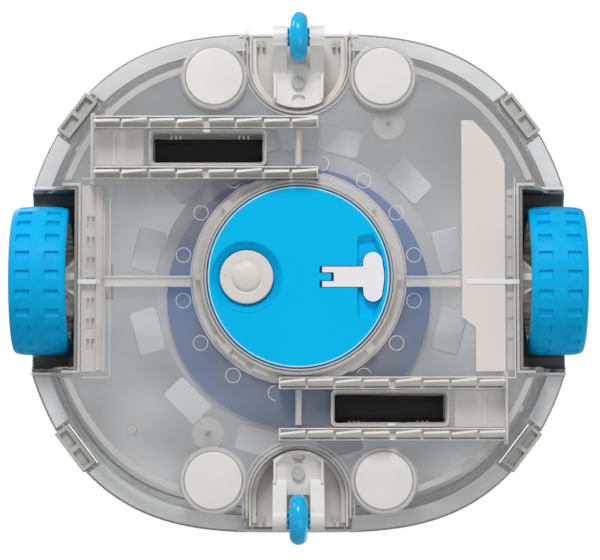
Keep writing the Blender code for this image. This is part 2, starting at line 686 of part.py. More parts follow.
def pod_inside():
    wall, flange = 0.0025, 0.0700
    low, flange_low = FLOOR + GAP, FLOOR_TOP + GAP
    bore, outer, inner, roof = 0.0036, HOUSING_RADIUS, HOUSING_RADIUS - wall, HOUSING_TOP - 0.0045
    profile = [(bore, HOUSING_TOP), (outer - 0.004, HOUSING_TOP), (outer, HOUSING_TOP - 0.004),
               (outer, 0.0345), (flange, 0.0345), (flange, flange_low), (outer, flange_low), (outer, low),
               (inner, low), (inner, roof), (bore, roof)]
    turned("pod_housing", profile, "blue_plastic", steps=32, closed=True)
    soften(box("battery_pack", (-0.038, -0.022, 0.0440), (0.038, 0.022, 0.0780), "battery_wrap"), 0.004)
    box("control_board", (-0.036, -0.026, 0.0405), (0.036, 0.026, 0.0421), "board_green")
    rod("pump_motor", 0.018, (0, 0, 0.0785), (0, 0, 0.1000), "steel")


def impeller():
    """Shaft, hub and five pitched blades."""
    shaft = rod("pump_shaft", 0.0030, (0, 0, 0.1005), (0, 0, 0.1300), "steel", sides=20)
    hub = rod("impeller", 0.0080, (0, 0, 0.1120), (0, 0, 0.1260), "blue_plastic", sides=24)
    for i in range(5):
        blade = box("blade", (0.0065, -0.0075, -0.0008), (0.0305, 0.0075, 0.0008))
        pitch = Matrix.Rotation(math.radians(32), 4, "X")
        spot = Matrix.Rotation(math.radians(72 * i), 4, "Z") @ Matrix.Translation((0, 0, 0.1190))
        place(spot @ pitch, blade)
        join(hub, blade)
    cut(hub, rod("impeller_bore", 0.0033, (0, 0, 0.10), (0, 0, 0.14), sides=20))
    hang("pump_rotor", (0, 0, 0.1190), shaft, hub)


# Small pieces round the tray.

def ballast_caps():
    edge = CAP_RADIUS
    profile = [(0, 0.0340), (edge, 0.0340), (edge, 0.0228), (edge - 0.0008, 0.0220), (0, 0.0220)]
    for number, (side_x, side_y) in enumerate(CORNERS, 1):
        cap = turned("ballast_cap_%d" % number, profile, "white_plastic", steps=24)
        cap.location = (side_x * CAP_X, side_y * CAP_Y, 0)


def side_clips():
    """Rim latches: a block with two open pockets, on trunnions."""
    half = CLIP_LENGTH / 2
    for number, corner in enumerate(CORNERS, 1):
        clip = box("side_clip_%d" % number, (-half, -0.0050, 0.0520), (half, 0.0058, 0.0725), "grey_plastic")
        trunnion = rod("clip_trunnion", 0.0011, (-half - 0.0025, CLIP_PIN_OUT, CLIP_PIN_Z),
                       (half + 0.0025, CLIP_PIN_OUT, CLIP_PIN_Z), sides=12)
        pockets = [box("clip_pocket", (x, 0.0005, 0.050), (x + 0.0135, 0.0041, 0.0650))
                   for x in (-half + 0.0020, 0.0010)]
        join(clip, trunnion)
        cut(clip, *pockets)
        frame = clip_frame(*corner)
        place(frame, clip)
        hang("side_clip_%d" % number, frame @ Vector((0, CLIP_PIN_OUT, CLIP_PIN_Z)), clip)


# Pieces that lift off with the top cover.

def filter_unit():
    """A lobed frame with its screen, on a blue seat plate. Both sit off centre, toward the rear."""
    teeth, hole, waist, tip = 12, 0.0860, 0.1000, 0.1198
    shift, seat_shift = 0.0056, 0.0110
    outline = []
    for i in range(teeth):
        for radius, share in ((waist, 0.0), (waist, 0.20), (tip, 0.25), (tip, 0.75), (waist, 0.80)):
            angle = 2 * math.pi * (i + share) / teeth
            outline.append((radius * math.cos(angle), shift + radius * math.sin(angle)))
    frame = plate("filter_frame", outline, 0.0660, 0.0692, "white_plastic")
    cut(frame, rod("frame_hole", hole, (0, shift, 0.06), (0, shift, 0.08), sides=32))
    seat = rod("filter_seat_ring", 0.0923, (0, seat_shift, 0.0610), (0, seat_shift, 0.0655), "blue_plastic",
               sides=36)
    cut(seat, rod("seat_hole", 0.0725, (0, 0, 0.05), (0, 0, 0.08), sides=36))
    screen = turned("filter_screen", [(0.0985, 0.0707), (0.0985, 0.0695), (0.0700, 0.0695), (0.0700, 0.0707)],
                    "mesh_screen", steps=36, closed=True)
    screen.location.y = shift
    return [frame, seat, screen]


def outlet_tower():
    """The jet outlet on the cover, and the neck that hangs from the cover round the impeller."""
    bore, base_top = NECK_RADIUS, 0.1630
    outer_neck = bore + 0.0025
    profile = [(0, 0.1900), (0.0300, 0.1885), (0.0420, 0.1840), (0.0480, 0.1760), (0.0495, 0.1680),
               (TOWER_RADIUS, 0.1603), (bore, 0.1603), (bore, base_top), (0.0470, base_top),
               (0.0466, 0.1680), (0.0453, 0.1745), (0.0400, 0.1815), (0.0290, 0.1857), (0, 0.1870)]
    tower = turned("water_outlet", profile, "blue_plastic", steps=28)
    neck_profile = [(outer_neck, 0.1600), (outer_neck, 0.1080), (bore, 0.1080), (bore, 0.1600)]
    neck = turned("outlet_neck", neck_profile, "blue_plastic", steps=28, closed=True)
    for turn in ENDS.values():
        mouth = soften(box("outlet_mouth", (-0.0280, 0.0250, 0.1680), (0.0280, 0.0600, 0.1800)), 0.002)
        place(turn, mouth)
        cut(tower, mouth)
    cut(tower, rod("diverter_bore", 0.0016, (-0.06, 0, DIVERTER_Z), (0.06, 0, DIVERTER_Z), sides=12))
    return [tower, neck]


def diverter():
    flap = box("diverter_flap", (-0.0260, -0.0008, 0.1650), (0.0260, 0.0008, 0.1835), "white_plastic")
    knuckle = rod("diverter_knuckle", 0.0017, (-0.0258, 0, DIVERTER_Z), (0.0258, 0, DIVERTER_Z), sides=12)
    pin = rod("diverter_pin", 0.0012, (-0.0400, 0, DIVERTER_Z), (0.0400, 0, DIVERTER_Z), sides=12)
    hang("diverter_flap", (0, 0, DIVERTER_Z), join(flap, knuckle, pin))


def carry_handle():
    """A bail that lies round the water outlet and swings up."""
    inner, outer, ear = BAIL_RADIUS, BAIL_RADIUS + 0.0105, 0.0035
    outline = arc(0, 0, outer, 0, 180, 20) + [(-outer, -ear), (-inner, -ear)]
    outline += arc(0, 0, inner, 180, 0, 20) + [(inner, -ear), (outer, -ear)]
    bail = plate("carry_handle", outline, BAIL_Z - 0.0030, BAIL_Z + 0.0030, "grey_plastic")
    for turn in SIDES.values():
        pin = rod("bail_pin", 0.0018, (inner + 0.003, 0, BAIL_Z), (0.0700, 0, BAIL_Z), sides=12)
        place(turn, pin)
        join(bail, pin)
    hang("carry_handle", (0, 0, BAIL_Z), bail)


def main():
    bottom_tray()
    side_baffles()
    for side, turn in SIDES.items():
        wheel_arch(side, turn)
        wheel(side, turn)
    for end, turn in ENDS.items():
        guide_unit(end, turn)
    for end, turn in INLETS.items():
        inlet(end, turn)
    ballast_caps()
    side_clips()
    pod_cover()
    pull_handle()
    charging_port()
    retaining_ring()
    pod_inside()
    impeller()
    lifted = [top_cover(), *outlet_tower(), *filter_unit()]
    hang("top_cover", (0, 0, RIM_TOP), *lifted)
    diverter()
    carry_handle()


clear_scene()
PARTS = new_collection("pool_cleaner")
CUTTERS = new_collection("cutters", helpers_only=True)
MATERIALS = {name: make_material(name) for name in LOOKS}
main()
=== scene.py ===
import math

import bmesh
import bpy
from mathutils import Matrix, Vector

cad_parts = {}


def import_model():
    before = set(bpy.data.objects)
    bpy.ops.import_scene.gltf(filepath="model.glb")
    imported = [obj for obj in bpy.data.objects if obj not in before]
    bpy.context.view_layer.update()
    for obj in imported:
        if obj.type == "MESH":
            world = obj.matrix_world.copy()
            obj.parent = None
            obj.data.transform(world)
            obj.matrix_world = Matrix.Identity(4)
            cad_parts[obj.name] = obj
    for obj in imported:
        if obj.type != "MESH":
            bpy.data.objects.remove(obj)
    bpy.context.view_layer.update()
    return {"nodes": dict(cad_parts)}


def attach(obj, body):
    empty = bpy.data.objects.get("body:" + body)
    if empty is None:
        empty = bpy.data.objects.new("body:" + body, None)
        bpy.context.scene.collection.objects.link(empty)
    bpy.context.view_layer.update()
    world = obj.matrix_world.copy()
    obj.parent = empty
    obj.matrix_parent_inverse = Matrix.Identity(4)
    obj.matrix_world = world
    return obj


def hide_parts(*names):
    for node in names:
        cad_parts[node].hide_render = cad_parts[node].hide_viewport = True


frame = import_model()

# Sizes of the cleaner, in metres. X runs along the wheel axles, -Y is the front, Z is up.
HALF_X = 0.1970
HALF_Y = 0.1755
POWER_X = 3.3
POWER_Y = 1.8
OUTLINE_SIDES = 168
FLOOR = 0.0280
FLOOR_TOP = 0.0305
RIM_LOW = 0.0520
RIM_TOP = 0.0600
COVER_TOP = 0.1600
WHEEL_RADIUS = 0.0520
WHEEL_X = 0.1793
ARCH_X = 0.1533
ARCH_Y = 0.0637
POD_RADIUS = 0.0633
POD_LOW = 0.0195
PORT_X = -0.0359
HANDLE_PIN_X = 0.0188
HANDLE_PIN_Z = 0.0222
INLET_LOW = (-0.1034, -0.1028)
INLET_HIGH = (-0.0226, -0.0780)
FLAP_HINGE_Y = -0.0975
FLAP_HINGE_Z = 0.0455
WIPER_X = (-0.1415, 0.0130)
WIPER_Y = {"outer": -0.1084, "inner": -0.0730}
FENDER_WALL = 0.0045
RIB_SHIFT = 0.0028
CAP_X = 0.0586
CAP_Y = 0.1403
CAP_RADIUS = 0.0200
PIVOT_Y = 0.1360
ROLLER_Y = 0.1670
ROLLER_RADIUS = 0.0173
ROLLER_Z = 0.0175
POCKET_RADIUS = 0.0346
POCKET_Y = 0.1510
POCKET_TOP = 0.0500
CLIP_X = 0.1554
CLIP_Y = 0.1167
CLIP_HALF = 0.0165
NECK_RADIUS = 0.0330
TOWER_RADIUS = 0.0500
BAIL_Z = 0.1655
BAIL_RADIUS = 0.0540
POST_X = 0.0780
POST_Y = 0.0760
MARK_RADIUS = 0.0814
DIVERTER_Z = 0.1825
IMPELLER_Z = 0.1190

CORNERS = [(1, 1), (-1, 1), (-1, -1), (1, -1)]
HALF_TURN = Matrix.Rotation(math.pi, 4, "Z")
STAY = Matrix.Identity(4)
ENDS = {"rear": STAY, "front": HALF_TURN}
INLETS = {"front": STAY, "rear": HALF_TURN}
SIDES = {"right": STAY, "left": HALF_TURN}


# Materials.

class Look:
    """A material's node tree, with the helpers that add to it."""

    def __init__(self, name):
        self.material = bpy.data.materials.new(name)
        self.material.use_nodes = True
        self.tree = self.material.node_tree
        self.shader = self.tree.nodes["Principled BSDF"]
        self.output = self.tree.nodes["Material Output"]
        self.place = self.node("TexCoord").outputs["Object"]

    def node(self, kind, **inputs):
        made = self.tree.nodes.new("ShaderNode" + kind)
        for name, value in inputs.items():
            made.inputs[name.replace("_", " ")].default_value = value
        return made

    def join(self, source, target):
        self.tree.links.new(source, target)

    def noise(self, scale, detail=3.0, stretch=None, roughness=0.5):
        """A noise value from 0 to 1, stretched along the axes by the three numbers of stretch."""
        noise = self.node("TexNoise", Scale=scale, Detail=detail, Roughness=roughness)
        if stretch is None:
            self.join(self.place, noise.inputs["Vector"])
        else:
            mapping = self.node("Mapping", Scale=stretch)
            self.join(self.place, mapping.inputs["Vector"])
            self.join(mapping.outputs["Vector"], noise.inputs["Vector"])
        return noise.outputs["Fac"]

    def ranged(self, value, low, high, start=0.3, end=0.7):
        """value from start to end, mapped to low to high."""
        mapped = self.node("MapRange", From_Min=start, From_Max=end, To_Min=low, To_Max=high)
        self.join(value, mapped.inputs["Value"])
        return mapped.outputs["Result"]

    def mixed(self, factor, first, second):
        """A colour between first and second."""
        mix = self.tree.nodes.new("ShaderNodeMix")
        mix.data_type = "RGBA"
        mix.inputs["A"].default_value = (*first, 1.0)
        mix.inputs["B"].default_value = (*second, 1.0)
        self.join(factor, mix.inputs["Factor"])
        return mix.outputs["Result"]

    def bump(self, height, strength, distance, under=None):
        bump = self.node("Bump", Strength=strength, Distance=distance)
        self.join(height, bump.inputs["Height"])
        if under is not None:
            self.join(under, bump.inputs["Normal"])
        return bump.outputs["Normal"]


def shade(colour, factor):
    return tuple(min(1.0, channel * factor) for channel in colour)


def plastic(name, colour, roughness=0.4, grain=2600.0, grain_bump=0.10, mottle=0.05, scuffs=0.12,
            specular=0.4,
            clearcoat=0.0):
    """Moulded plastic: fine grain, a slow change of tone, faint scuffs and a slightly uneven gloss."""
    look = Look(name)
    look.shader.inputs["Specular IOR Level"].default_value = specular
    look.shader.inputs["Coat Weight"].default_value = clearcoat
    look.shader.inputs["Coat Roughness"].default_value = 0.12
    tone = look.noise(28.0, detail=4.0)
    look.join(look.mixed(look.ranged(tone, 0.0, 1.0), shade(colour, 1.0 - mottle),
                         shade(colour, 1.0 + mottle)),
              look.shader.inputs["Base Color"])
    scuff = look.ranged(look.noise(160.0, detail=6.0, stretch=(1.0, 0.16, 1.0), roughness=0.65), 0.0, scuffs,
                        0.55, 0.72)
    uneven = look.ranged(look.noise(70.0, detail=3.0), roughness * 0.88, roughness * 1.12)
    total = look.node("Math")
    look.join(uneven, total.inputs[0])
    look.join(scuff, total.inputs[1])
    look.join(total.outputs["Value"], look.shader.inputs["Roughness"])
    wavy = look.bump(look.noise(45.0, detail=2.0), 0.05, 0.0010)
    look.join(look.bump(look.noise(grain, detail=2.0), grain_bump, 0.00012, wavy),
              look.shader.inputs["Normal"])
    return look.material


def clear_plastic(name, tint, haze, roughness=0.14):
    """Hazy clear plastic. The share haze of each face is a pale glossy surface, and the rest is open."""
    look = Look(name)
    cloud = look.noise(16.0, detail=4.0)
    look.join(look.mixed(look.ranged(cloud, 0.0, 1.0), shade(tint, 0.93), shade(tint, 1.05)),
              look.shader.inputs["Base Color"])
    look.shader.inputs["Specular IOR Level"].default_value = 0.6
    look.join(look.ranged(look.noise(90.0), roughness * 0.8, roughness * 1.3),
              look.shader.inputs["Roughness"])
    flow = look.bump(look.noise(38.0, detail=3.0, stretch=(1.0, 0.45, 1.0)), 0.12, 0.0018)
    look.join(look.bump(look.noise(1800.0), 0.05, 0.0001, flow), look.shader.inputs["Normal"])
    open_part = look.node("BsdfTransparent", Color=(0.965, 0.97, 0.975, 1.0))
    streaks = look.noise(30.0, detail=5.0, stretch=(0.5, 1.0, 1.0))
    mix = look.node("MixShader")
    look.join(look.ranged(streaks, haze * 0.82, haze * 1.18), mix.inputs["Fac"])
    look.join(open_part.outputs["BSDF"], mix.inputs[1])
    look.join(look.shader.outputs["BSDF"], mix.inputs[2])
    look.join(mix.outputs["Shader"], look.output.inputs["Surface"])
    return look.material


def rubber(name, colour, roughness=0.5, specular=0.3):
    """Rubber: pores, dust in the hollows and a soft gloss."""
    look = Look(name)
    look.shader.inputs["Specular IOR Level"].default_value = specular
    dust = look.ranged(look.noise(120.0, detail=6.0, roughness=0.6), 0.0, 1.0, 0.45, 0.75)
    look.join(look.mixed(dust, colour, shade(colour, 0.86)), look.shader.inputs["Base Color"])
    look.join(look.ranged(look.noise(55.0), roughness * 0.85, roughness * 1.15),
              look.shader.inputs["Roughness"])
    soft = look.bump(look.noise(60.0, detail=2.0), 0.06, 0.0010)
    look.join(look.bump(look.noise(3200.0, detail=2.0), 0.16, 0.00012, soft), look.shader.inputs["Normal"])
    return look.material


def metal(name, colour, roughness=0.28):
    """Turned steel: fine rings of brushing and slight stains."""
    look = Look(name)
    look.shader.inputs["Metallic"].default_value = 1.0
    look.join(look.mixed(look.ranged(look.noise(80.0), 0.0, 1.0), shade(colour, 0.9), shade(colour, 1.08)),
              look.shader.inputs["Base Color"])
    brushed = look.noise(700.0, detail=4.0, stretch=(4.0, 0.3, 4.0))
    look.join(look.ranged(brushed, roughness * 0.8, roughness * 1.35), look.shader.inputs["Roughness"])
    look.join(look.bump(brushed, 0.12, 0.0001), look.shader.inputs["Normal"])
    return look.material


def woven(name, colour, pitch):
    """A fine square mesh of threads."""
    look = Look(name)
    threads = []
    for direction in ("X", "Y"):
        wave = look.node("TexWave", Scale=1.0 / pitch)
        wave.bands_direction = direction
        look.join(look.place, wave.inputs["Vector"])
        threads.append(wave.outputs["Fac"])
    lines = look.node("Math")
    lines.operation = "MAXIMUM"
    look.join(threads[0], lines.inputs[0])
    look.join(threads[1], lines.inputs[1])
    look.join(look.mixed(lines.outputs["Value"], shade(colour, 0.45), colour),
              look.shader.inputs["Base Color"])
    look.join(look.ranged(look.noise(200.0), 0.5, 0.7), look.shader.inputs["Roughness"])
    look.join(look.bump(lines.outputs["Value"], 0.4, 0.0003), look.shader.inputs["Normal"])
    return look.material


LOOKS = {
    "clear": clear_plastic("clear_tray", (0.82, 0.81, 0.81), 0.13),
    "clear_rim": clear_plastic("clear_rim", (0.93, 0.92, 0.92), 0.72, roughness=0.18),
    "clear_warm": clear_plastic("clear_warm", (0.86, 0.82, 0.79), 0.50, roughness=0.16),
    # Painted shade: dark bands that stand in for the clear rim wall seen edge on.
    "wall_shade": clear_plastic("clear_wall_painted_shade", (0.34, 0.31, 0.28), 0.62, roughness=0.20),
    # Painted highlight: nearly opaque bright clear plastic for thin lines along clear ribs, lips and sills.
    "edge": clear_plastic("clear_edge_highlight", (0.96, 0.95, 0.95), 0.76, roughness=0.10),
    "white": plastic("white_plastic", (0.77, 0.76, 0.74), 0.42),
    "bracket": plastic("bracket_plastic", (0.77, 0.75, 0.72), 0.42),
    "panel": plastic("panel_plastic", (0.74, 0.695, 0.665), 0.45, mottle=0.02),
    "paddle": plastic("paddle_plastic", (0.86, 0.845, 0.825), 0.38, specular=0.5),
    "rail": plastic("rail_plastic", (0.80, 0.785, 0.76), 0.40, specular=0.5),
    "frame_white": plastic("frame_plastic", (0.90, 0.89, 0.92), 0.45, mottle=0.04),
    "frame_shade": plastic("frame_shade_plastic", (0.66, 0.66, 0.70), 0.50, mottle=0.06),
    "duct": plastic("duct_plastic", (0.44, 0.43, 0.41), 0.42),
    # Painted shade for the floor of the wiper rails' troughs.
    "trough_shade": plastic("trough_shade_plastic", (0.58, 0.56, 0.54), 0.50),
    "cover": plastic("cover_plastic", (0.80, 0.79, 0.775), 0.42),
    "warm_white": plastic("warm_white_plastic", (0.77, 0.72, 0.69), 0.45),
    "grey": plastic("grey_plastic", (0.68, 0.665, 0.63), 0.46),
    "hub": plastic("hub_plastic", (0.93, 0.91, 0.88), 0.44),
    "fin": plastic("fin_plastic", (0.93, 0.92, 0.90), 0.30, specular=0.6),
    # Painted shade: near-black plates low in each wheel well.
    "ledge": plastic("well_shade_plastic", (0.125, 0.112, 0.103), 0.60, grain_bump=0.2, specular=0.2),
    "flange": clear_plastic("clear_flange", (1.0, 1.0, 1.0), 0.84, roughness=0.14),
    "clip": plastic("clip_plastic", (0.50, 0.50, 0.475), 0.48),
    # Painted shade, for the dark core of the wide screw bosses.
    "shade": plastic("hole_shade_plastic", (0.26, 0.25, 0.235), 0.50),
    "dark": plastic("dark_plastic", (0.075, 0.072, 0.070), 0.55, grain_bump=0.2),
    # Painted shade for the deep inside of the wheel wells.
    "shadow": plastic("arch_shade_plastic", (0.30, 0.28, 0.265), 0.60, grain_bump=0.2, specular=0.2),
    "blue": plastic("blue_plastic", (0.0, 0.50, 0.88), 0.30, grain_bump=0.03, mottle=0.012, scuffs=0.05,
                    specular=0.10),
    "port_blue": plastic("port_blue_plastic", (0.0, 0.45, 0.83), 0.45, specular=0.05),
    "seat_blue": plastic("seat_blue_plastic", (0.018, 0.15, 0.42), 0.40, mottle=0.12, specular=0.15),
    "roller": plastic("roller_plastic", (0.0, 0.45, 0.82), 0.20, grain_bump=0.03, mottle=0.02, scuffs=0.08,
                      specular=0.35, clearcoat=0.15),
    "tyre": rubber("tyre_rubber", (0.0, 0.44, 0.84), 0.50, specular=0.10),
    "flap": rubber("flap_rubber", (0.012, 0.012, 0.013), 0.42),
    "lever": plastic("lever_plastic", (0.88, 0.86, 0.90), 0.30, mottle=0.02, scuffs=0.05, clearcoat=0.3),
    "cap": plastic("cap_plastic", (0.73, 0.70, 0.66), 0.46),
    "steel": metal("steel", (0.60, 0.60, 0.61)),
    "board": plastic("solder_mask", (0.02, 0.17, 0.07), 0.35, grain=900.0, grain_bump=0.3),
    "wrap": plastic("battery_wrap", (0.03, 0.08, 0.22), 0.32, grain=300.0, grain_bump=0.3),
    "mesh": woven("filter_mesh", (0.70, 0.72, 0.75), 0.0012),
}


# Modelling helpers.

def object_of(name, bm):
    """An object made from bm, with its doubled points merged and its faces turned outward."""
    bmesh.ops.remove_doubles(bm, verts=bm.verts, dist=0.000002)
    bmesh.ops.recalc_face_normals(bm, faces=bm.faces)
    mesh = bpy.data.meshes.new(name)
    bm.to_mesh(mesh)
    bm.free()
    obj = bpy.data.objects.new(name, mesh)
    bpy.context.scene.collection.objects.link(obj)
    return obj


def loft(name, rings, closed=False):
    """A skin through rings of equally many points, capped, or closed from the last ring to the first."""
    bm = bmesh.new()
    made = [[bm.verts.new(point) for point in ring] for ring in rings]
    pairs = list(zip(made, made[1:]))
    if closed:
        pairs.append((made[-1], made[0]))
    count = len(made[0])
    for near, far in pairs:
        for i in range(count):
            j = (i + 1) % count
            bm.faces.new((near[i], near[j], far[j], far[i]))
    if not closed:
        bm.faces.new(made[0])
        bm.faces.new(made[-1])
    return object_of(name, bm)


def turned(name, profile, sides=96):
    """A solid turned about Z from a closed loop of (radius, height) points."""
    rings = [[(r * math.cos(a), r * math.sin(a), z) for a in angles(sides)] for r, z in profile]
    return loft(name, rings, closed=True)


def angles(count):
    return [2 * math.pi * i / count for i in range(count)]


def prism(name, outline, low, high):
    """An (x, y) outline, extruded from height low to height high."""
    return loft(name, [[(x, y, low) for x, y in outline], [(x, y, high) for x, y in outline]])


def box(name, low, high):
    (x0, y0, z0), (x1, y1, z1) = low, high
    return prism(name, [(x0, y0), (x1, y0), (x1, y1), (x0, y1)], z0, z1)


def rod(name, radius, start, end, end_radius=None, sides=32):
    """A cylinder or cone between two points."""
    start, end = Vector(start), Vector(end)
    far = radius if end_radius is None else end_radius
    turn = (end - start).to_track_quat("Z", "Y").to_matrix()
    rings = [[centre + turn @ Vector((r * math.cos(a), r * math.sin(a), 0.0)) for a in angles(sides)]
             for centre, r in ((start, radius), (end, far))]
    return loft(name, rings)


def place(matrix, *objects):
    """Moves the meshes of objects."""
    for obj in objects:
        obj.data.transform(matrix)
        if matrix.determinant() < 0:
            obj.data.flip_normals()
    return objects[0]


def boolean(target, operation, tools):
    """Joins or cuts target with tools, which are then removed."""
    for tool in tools:
        step = target.modifiers.new("step", "BOOLEAN")
        step.operation = operation
        step.object = tool
    bpy.context.view_layer.update()
    evaluated = target.evaluated_get(bpy.context.evaluated_depsgraph_get())
    mesh = bpy.data.meshes.new_from_object(evaluated)
    target.modifiers.clear()
    target.data = mesh
    for tool in tools:
        bpy.data.objects.remove(tool)
    return target


def cut(target, *tools):
    return boolean(target, "DIFFERENCE", tools)


def join(target, *tools):
    return boolean(target, "UNION", tools)


def merged(name, objects):
    """One object that holds the meshes of objects."""
    bm = bmesh.new()
    for obj in objects:
        bm.from_mesh(obj.data)
        bpy.data.objects.remove(obj)
    mesh = bpy.data.meshes.new(name)
    bm.to_mesh(mesh)
    bm.free()
    obj = bpy.data.objects.new(name, mesh)
    bpy.context.scene.collection.objects.link(obj)
    return obj


def smooth(obj, bevel, segments):
    """Rounded edges and even shading."""
    for polygon in obj.data.polygons:
        polygon.use_smooth = True
    if bevel:
        edge = obj.modifiers.new("edges", "BEVEL")
        edge.width = bevel
        edge.segments = segments
        edge.limit_method = "ANGLE"
        edge.angle_limit = math.radians(32)
        edge.use_clamp_overlap = True
    even = obj.modifiers.new("shading", "WEIGHTED_NORMAL")
    even.weight = 80
    even.keep_sharp = True


def show(obj, look, body, replaces=(), bevel=0.0004, segments=2):
    """Makes obj a piece of the cleaner that moves with body."""
    obj.data.materials.clear()
    obj.data.materials.append(LOOKS[look])
    if not bevel:
        obj.data.set_sharp_from_angle(angle=math.radians(38))
    smooth(obj, bevel, segments)
    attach(obj, body)
    if replaces:
        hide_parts(*([replaces] if isinstance(replaces, str) else replaces))
    return obj


def dress(node, look, bevel=0.0003, segments=2):
    """A CAD node that stays, with a better material and softer edges."""
    obj = frame["nodes"][node]
    if obj.data.materials:
        obj.data.materials[0] = LOOKS[look]
    else:
        obj.data.materials.append(LOOKS[look])
    weld = obj.modifiers.new("weld", "WELD")
    weld.merge_threshold = 0.00001
    if bevel:
        edge = obj.modifiers.new("edges", "BEVEL")
        edge.width = bevel
        edge.segments = segments
        edge.limit_method = "ANGLE"
        edge.angle_limit = math.radians(40)
    even = obj.modifiers.new("shading", "WEIGHTED_NORMAL")
    even.keep_sharp = True
    return obj


# Outlines.

def arc(x, y, radius, start, end, steps=12):
    turn = [math.radians(start + (end - start) * i / steps) for i in range(steps + 1)]
    return [(x + radius * math.cos(a), y + radius * math.sin(a)) for a in turn]


def rounded_rectangle(low, high, radius, steps=6):
    left, right = low[0] + radius, high[0] - radius
    near, far = low[1] + radius, high[1] - radius
    return (arc(left, near, radius, 180, 270, steps) + arc(right, near, radius, 270, 360, steps)
            + arc(right, far, radius, 0, 90, steps) + arc(left, far, radius, 90, 180, steps))


def body_outline(inset):
    """The body's rounded outline from above, pulled in by inset. It is fuller across than along."""
    points = []
    for angle in angles(OUTLINE_SIDES):
        across = abs(math.cos(angle)) ** (2 / POWER_X)
        along = abs(math.sin(angle)) ** (2 / POWER_Y)
        points.append((math.copysign(across * (HALF_X - inset), math.cos(angle)),
                       math.copysign(along * (HALF_Y - inset), math.sin(angle))))
    return points


def body_loft(name, sections, closed=False):
    rings = [[(x, y, z) for x, y in body_outline(inset)] for inset, z in sections]
    return loft(name, rings, closed)


def pocket_outline(radius, far_y):
    """The D of a guide pocket: round at its inner end, open toward the rim."""
    return arc(0.0, POCKET_Y, radius, 180, 360, 36) + [(radius, far_y), (-radius, far_y)]


def grown(low, high, margin):
    return [a - margin for a in low], [b + margin for b in high]


def clip_frame(side_x, side_y):
    """Where a side clip sits: X along the rim, Y outward."""
    across = POWER_X * (CLIP_X / HALF_X) ** (POWER_X - 1) / HALF_X
    along = POWER_Y * (CLIP_Y / HALF_Y) ** (POWER_Y - 1) / HALF_Y
    outward = math.atan2(side_y * along, side_x * across)
    spot = Matrix.Translation((side_x * CLIP_X, side_y * CLIP_Y, 0.0))
    return spot @ Matrix.Rotation(outward - math.pi / 2, 4, "Z")


# Bottom tray. Each row of a skin is (inset from the body's outline, height).

TRAY_SKIN = [(0.0285, FLOOR), (0.0235, 0.0283), (0.0200, 0.0295), (0.0172, 0.0330), (0.0158, 0.0390),
             (0.0140, 0.0480), (0.0118, 0.0512), (0.0090, RIM_LOW), (0.0030, RIM_LOW), (0.0012, 0.0526),
             (0.0002, 0.0548), (0.0000, 0.0590), (0.0004, RIM_TOP), (0.0025, RIM_TOP), (0.0030, 0.0572),
             (0.0098, 0.0568), (0.0140, 0.0540), (0.0164, 0.0490), (0.0182, 0.0390), (0.0200, 0.0345),
             (0.0236, 0.0318), (0.0285, FLOOR_TOP)]


def tray_holes():
    holes = [rod("pod_hole", 0.0610, (0, 0, 0.010), (0, 0, 0.045), sides=128)]
    for turn in SIDES.values():
        holes.append(place(turn, side_view("wheel_well", well_outline(0.0003), ARCH_X - 0.0003, 0.21)))
    for turn in INLETS.values():
        low, high = grown(INLET_LOW, INLET_HIGH, 0.0003)
        holes.append(place(turn, prism("inlet_hole", rounded_rectangle(low, high, 0.0035), 0.010, 0.050)))
    for turn in ENDS.values():
        holes.append(place(turn, prism("guide_pocket", pocket_outline(POCKET_RADIUS, 0.200), 0.010,
                                       POCKET_TOP)))
        holes.append(place(turn, rod("pivot_hole", 0.0028, (0, PIVOT_Y, 0.045), (0, PIVOT_Y, 0.060))))
    for side_x, side_y in CORNERS:
        x, y = side_x * CAP_X, side_y * CAP_Y
        holes.append(rod("cap_seat", CAP_RADIUS + 0.0003, (x, y, 0.015), (x, y, 0.0345), sides=96))
        notch = box("clip_notch", (-CLIP_HALF - 0.0006, -0.0062, 0.040), (CLIP_HALF + 0.0006, 0.0200, 0.0800))
        holes.append(place(clip_frame(side_x, side_y), notch))
    return holes


def tray_walls():
    """Bosses and pocket walls that are one with the tray's skin."""
    walls = []
    for side_x, side_y in CORNERS:
        x, y = side_x * CAP_X, side_y * CAP_Y
        walls.append(rod("cap_boss", CAP_RADIUS + 0.0026, (x, y, 0.0236), (x, y, 0.0541), sides=96))
    for turn in ENDS.values():
        walls.append(place(turn, prism("pocket_wall", pocket_outline(POCKET_RADIUS + 0.0025, 0.1734),
                                       0.0291, 0.0535)))
    return walls


def bottom_tray():
    tray = body_loft("tray_skin", TRAY_SKIN)
    join(tray, *tray_walls())
    cut(tray, *tray_holes())
    show(tray, "clear", "chassis", "bottom_tray", bevel=0.0005)


def rim_cuts(spare):
    """Cutters for what interrupts the rim, larger by spare: wheel wells, guide pockets, side clips."""
    cuts = []
    for turn in SIDES.values():
        well = box("well", (ARCH_X - spare, -ARCH_Y - spare, 0.0), (0.21, ARCH_Y + spare, 0.20))
        cuts.append(place(turn, well))
    for turn in ENDS.values():
        cuts.append(place(turn, prism("pocket", pocket_outline(POCKET_RADIUS + spare, 0.20), 0.0, 0.20)))
    for corner in CORNERS:
        notch = box("notch", (-CLIP_HALF - spare, -0.0062 - spare, 0.040),
                    (CLIP_HALF + spare, 0.0200, 0.0800))
        cuts.append(place(clip_frame(*corner), notch))
    return cuts


def boss_cuts():
    cuts = []
    for side_x, side_y in CORNERS:
        x, y = side_x * CAP_X, side_y * CAP_Y
        cuts.append(rod("boss", CAP_RADIUS + 0.0029, (x, y, 0.0), (x, y, 0.09), sides=64))
    return cuts


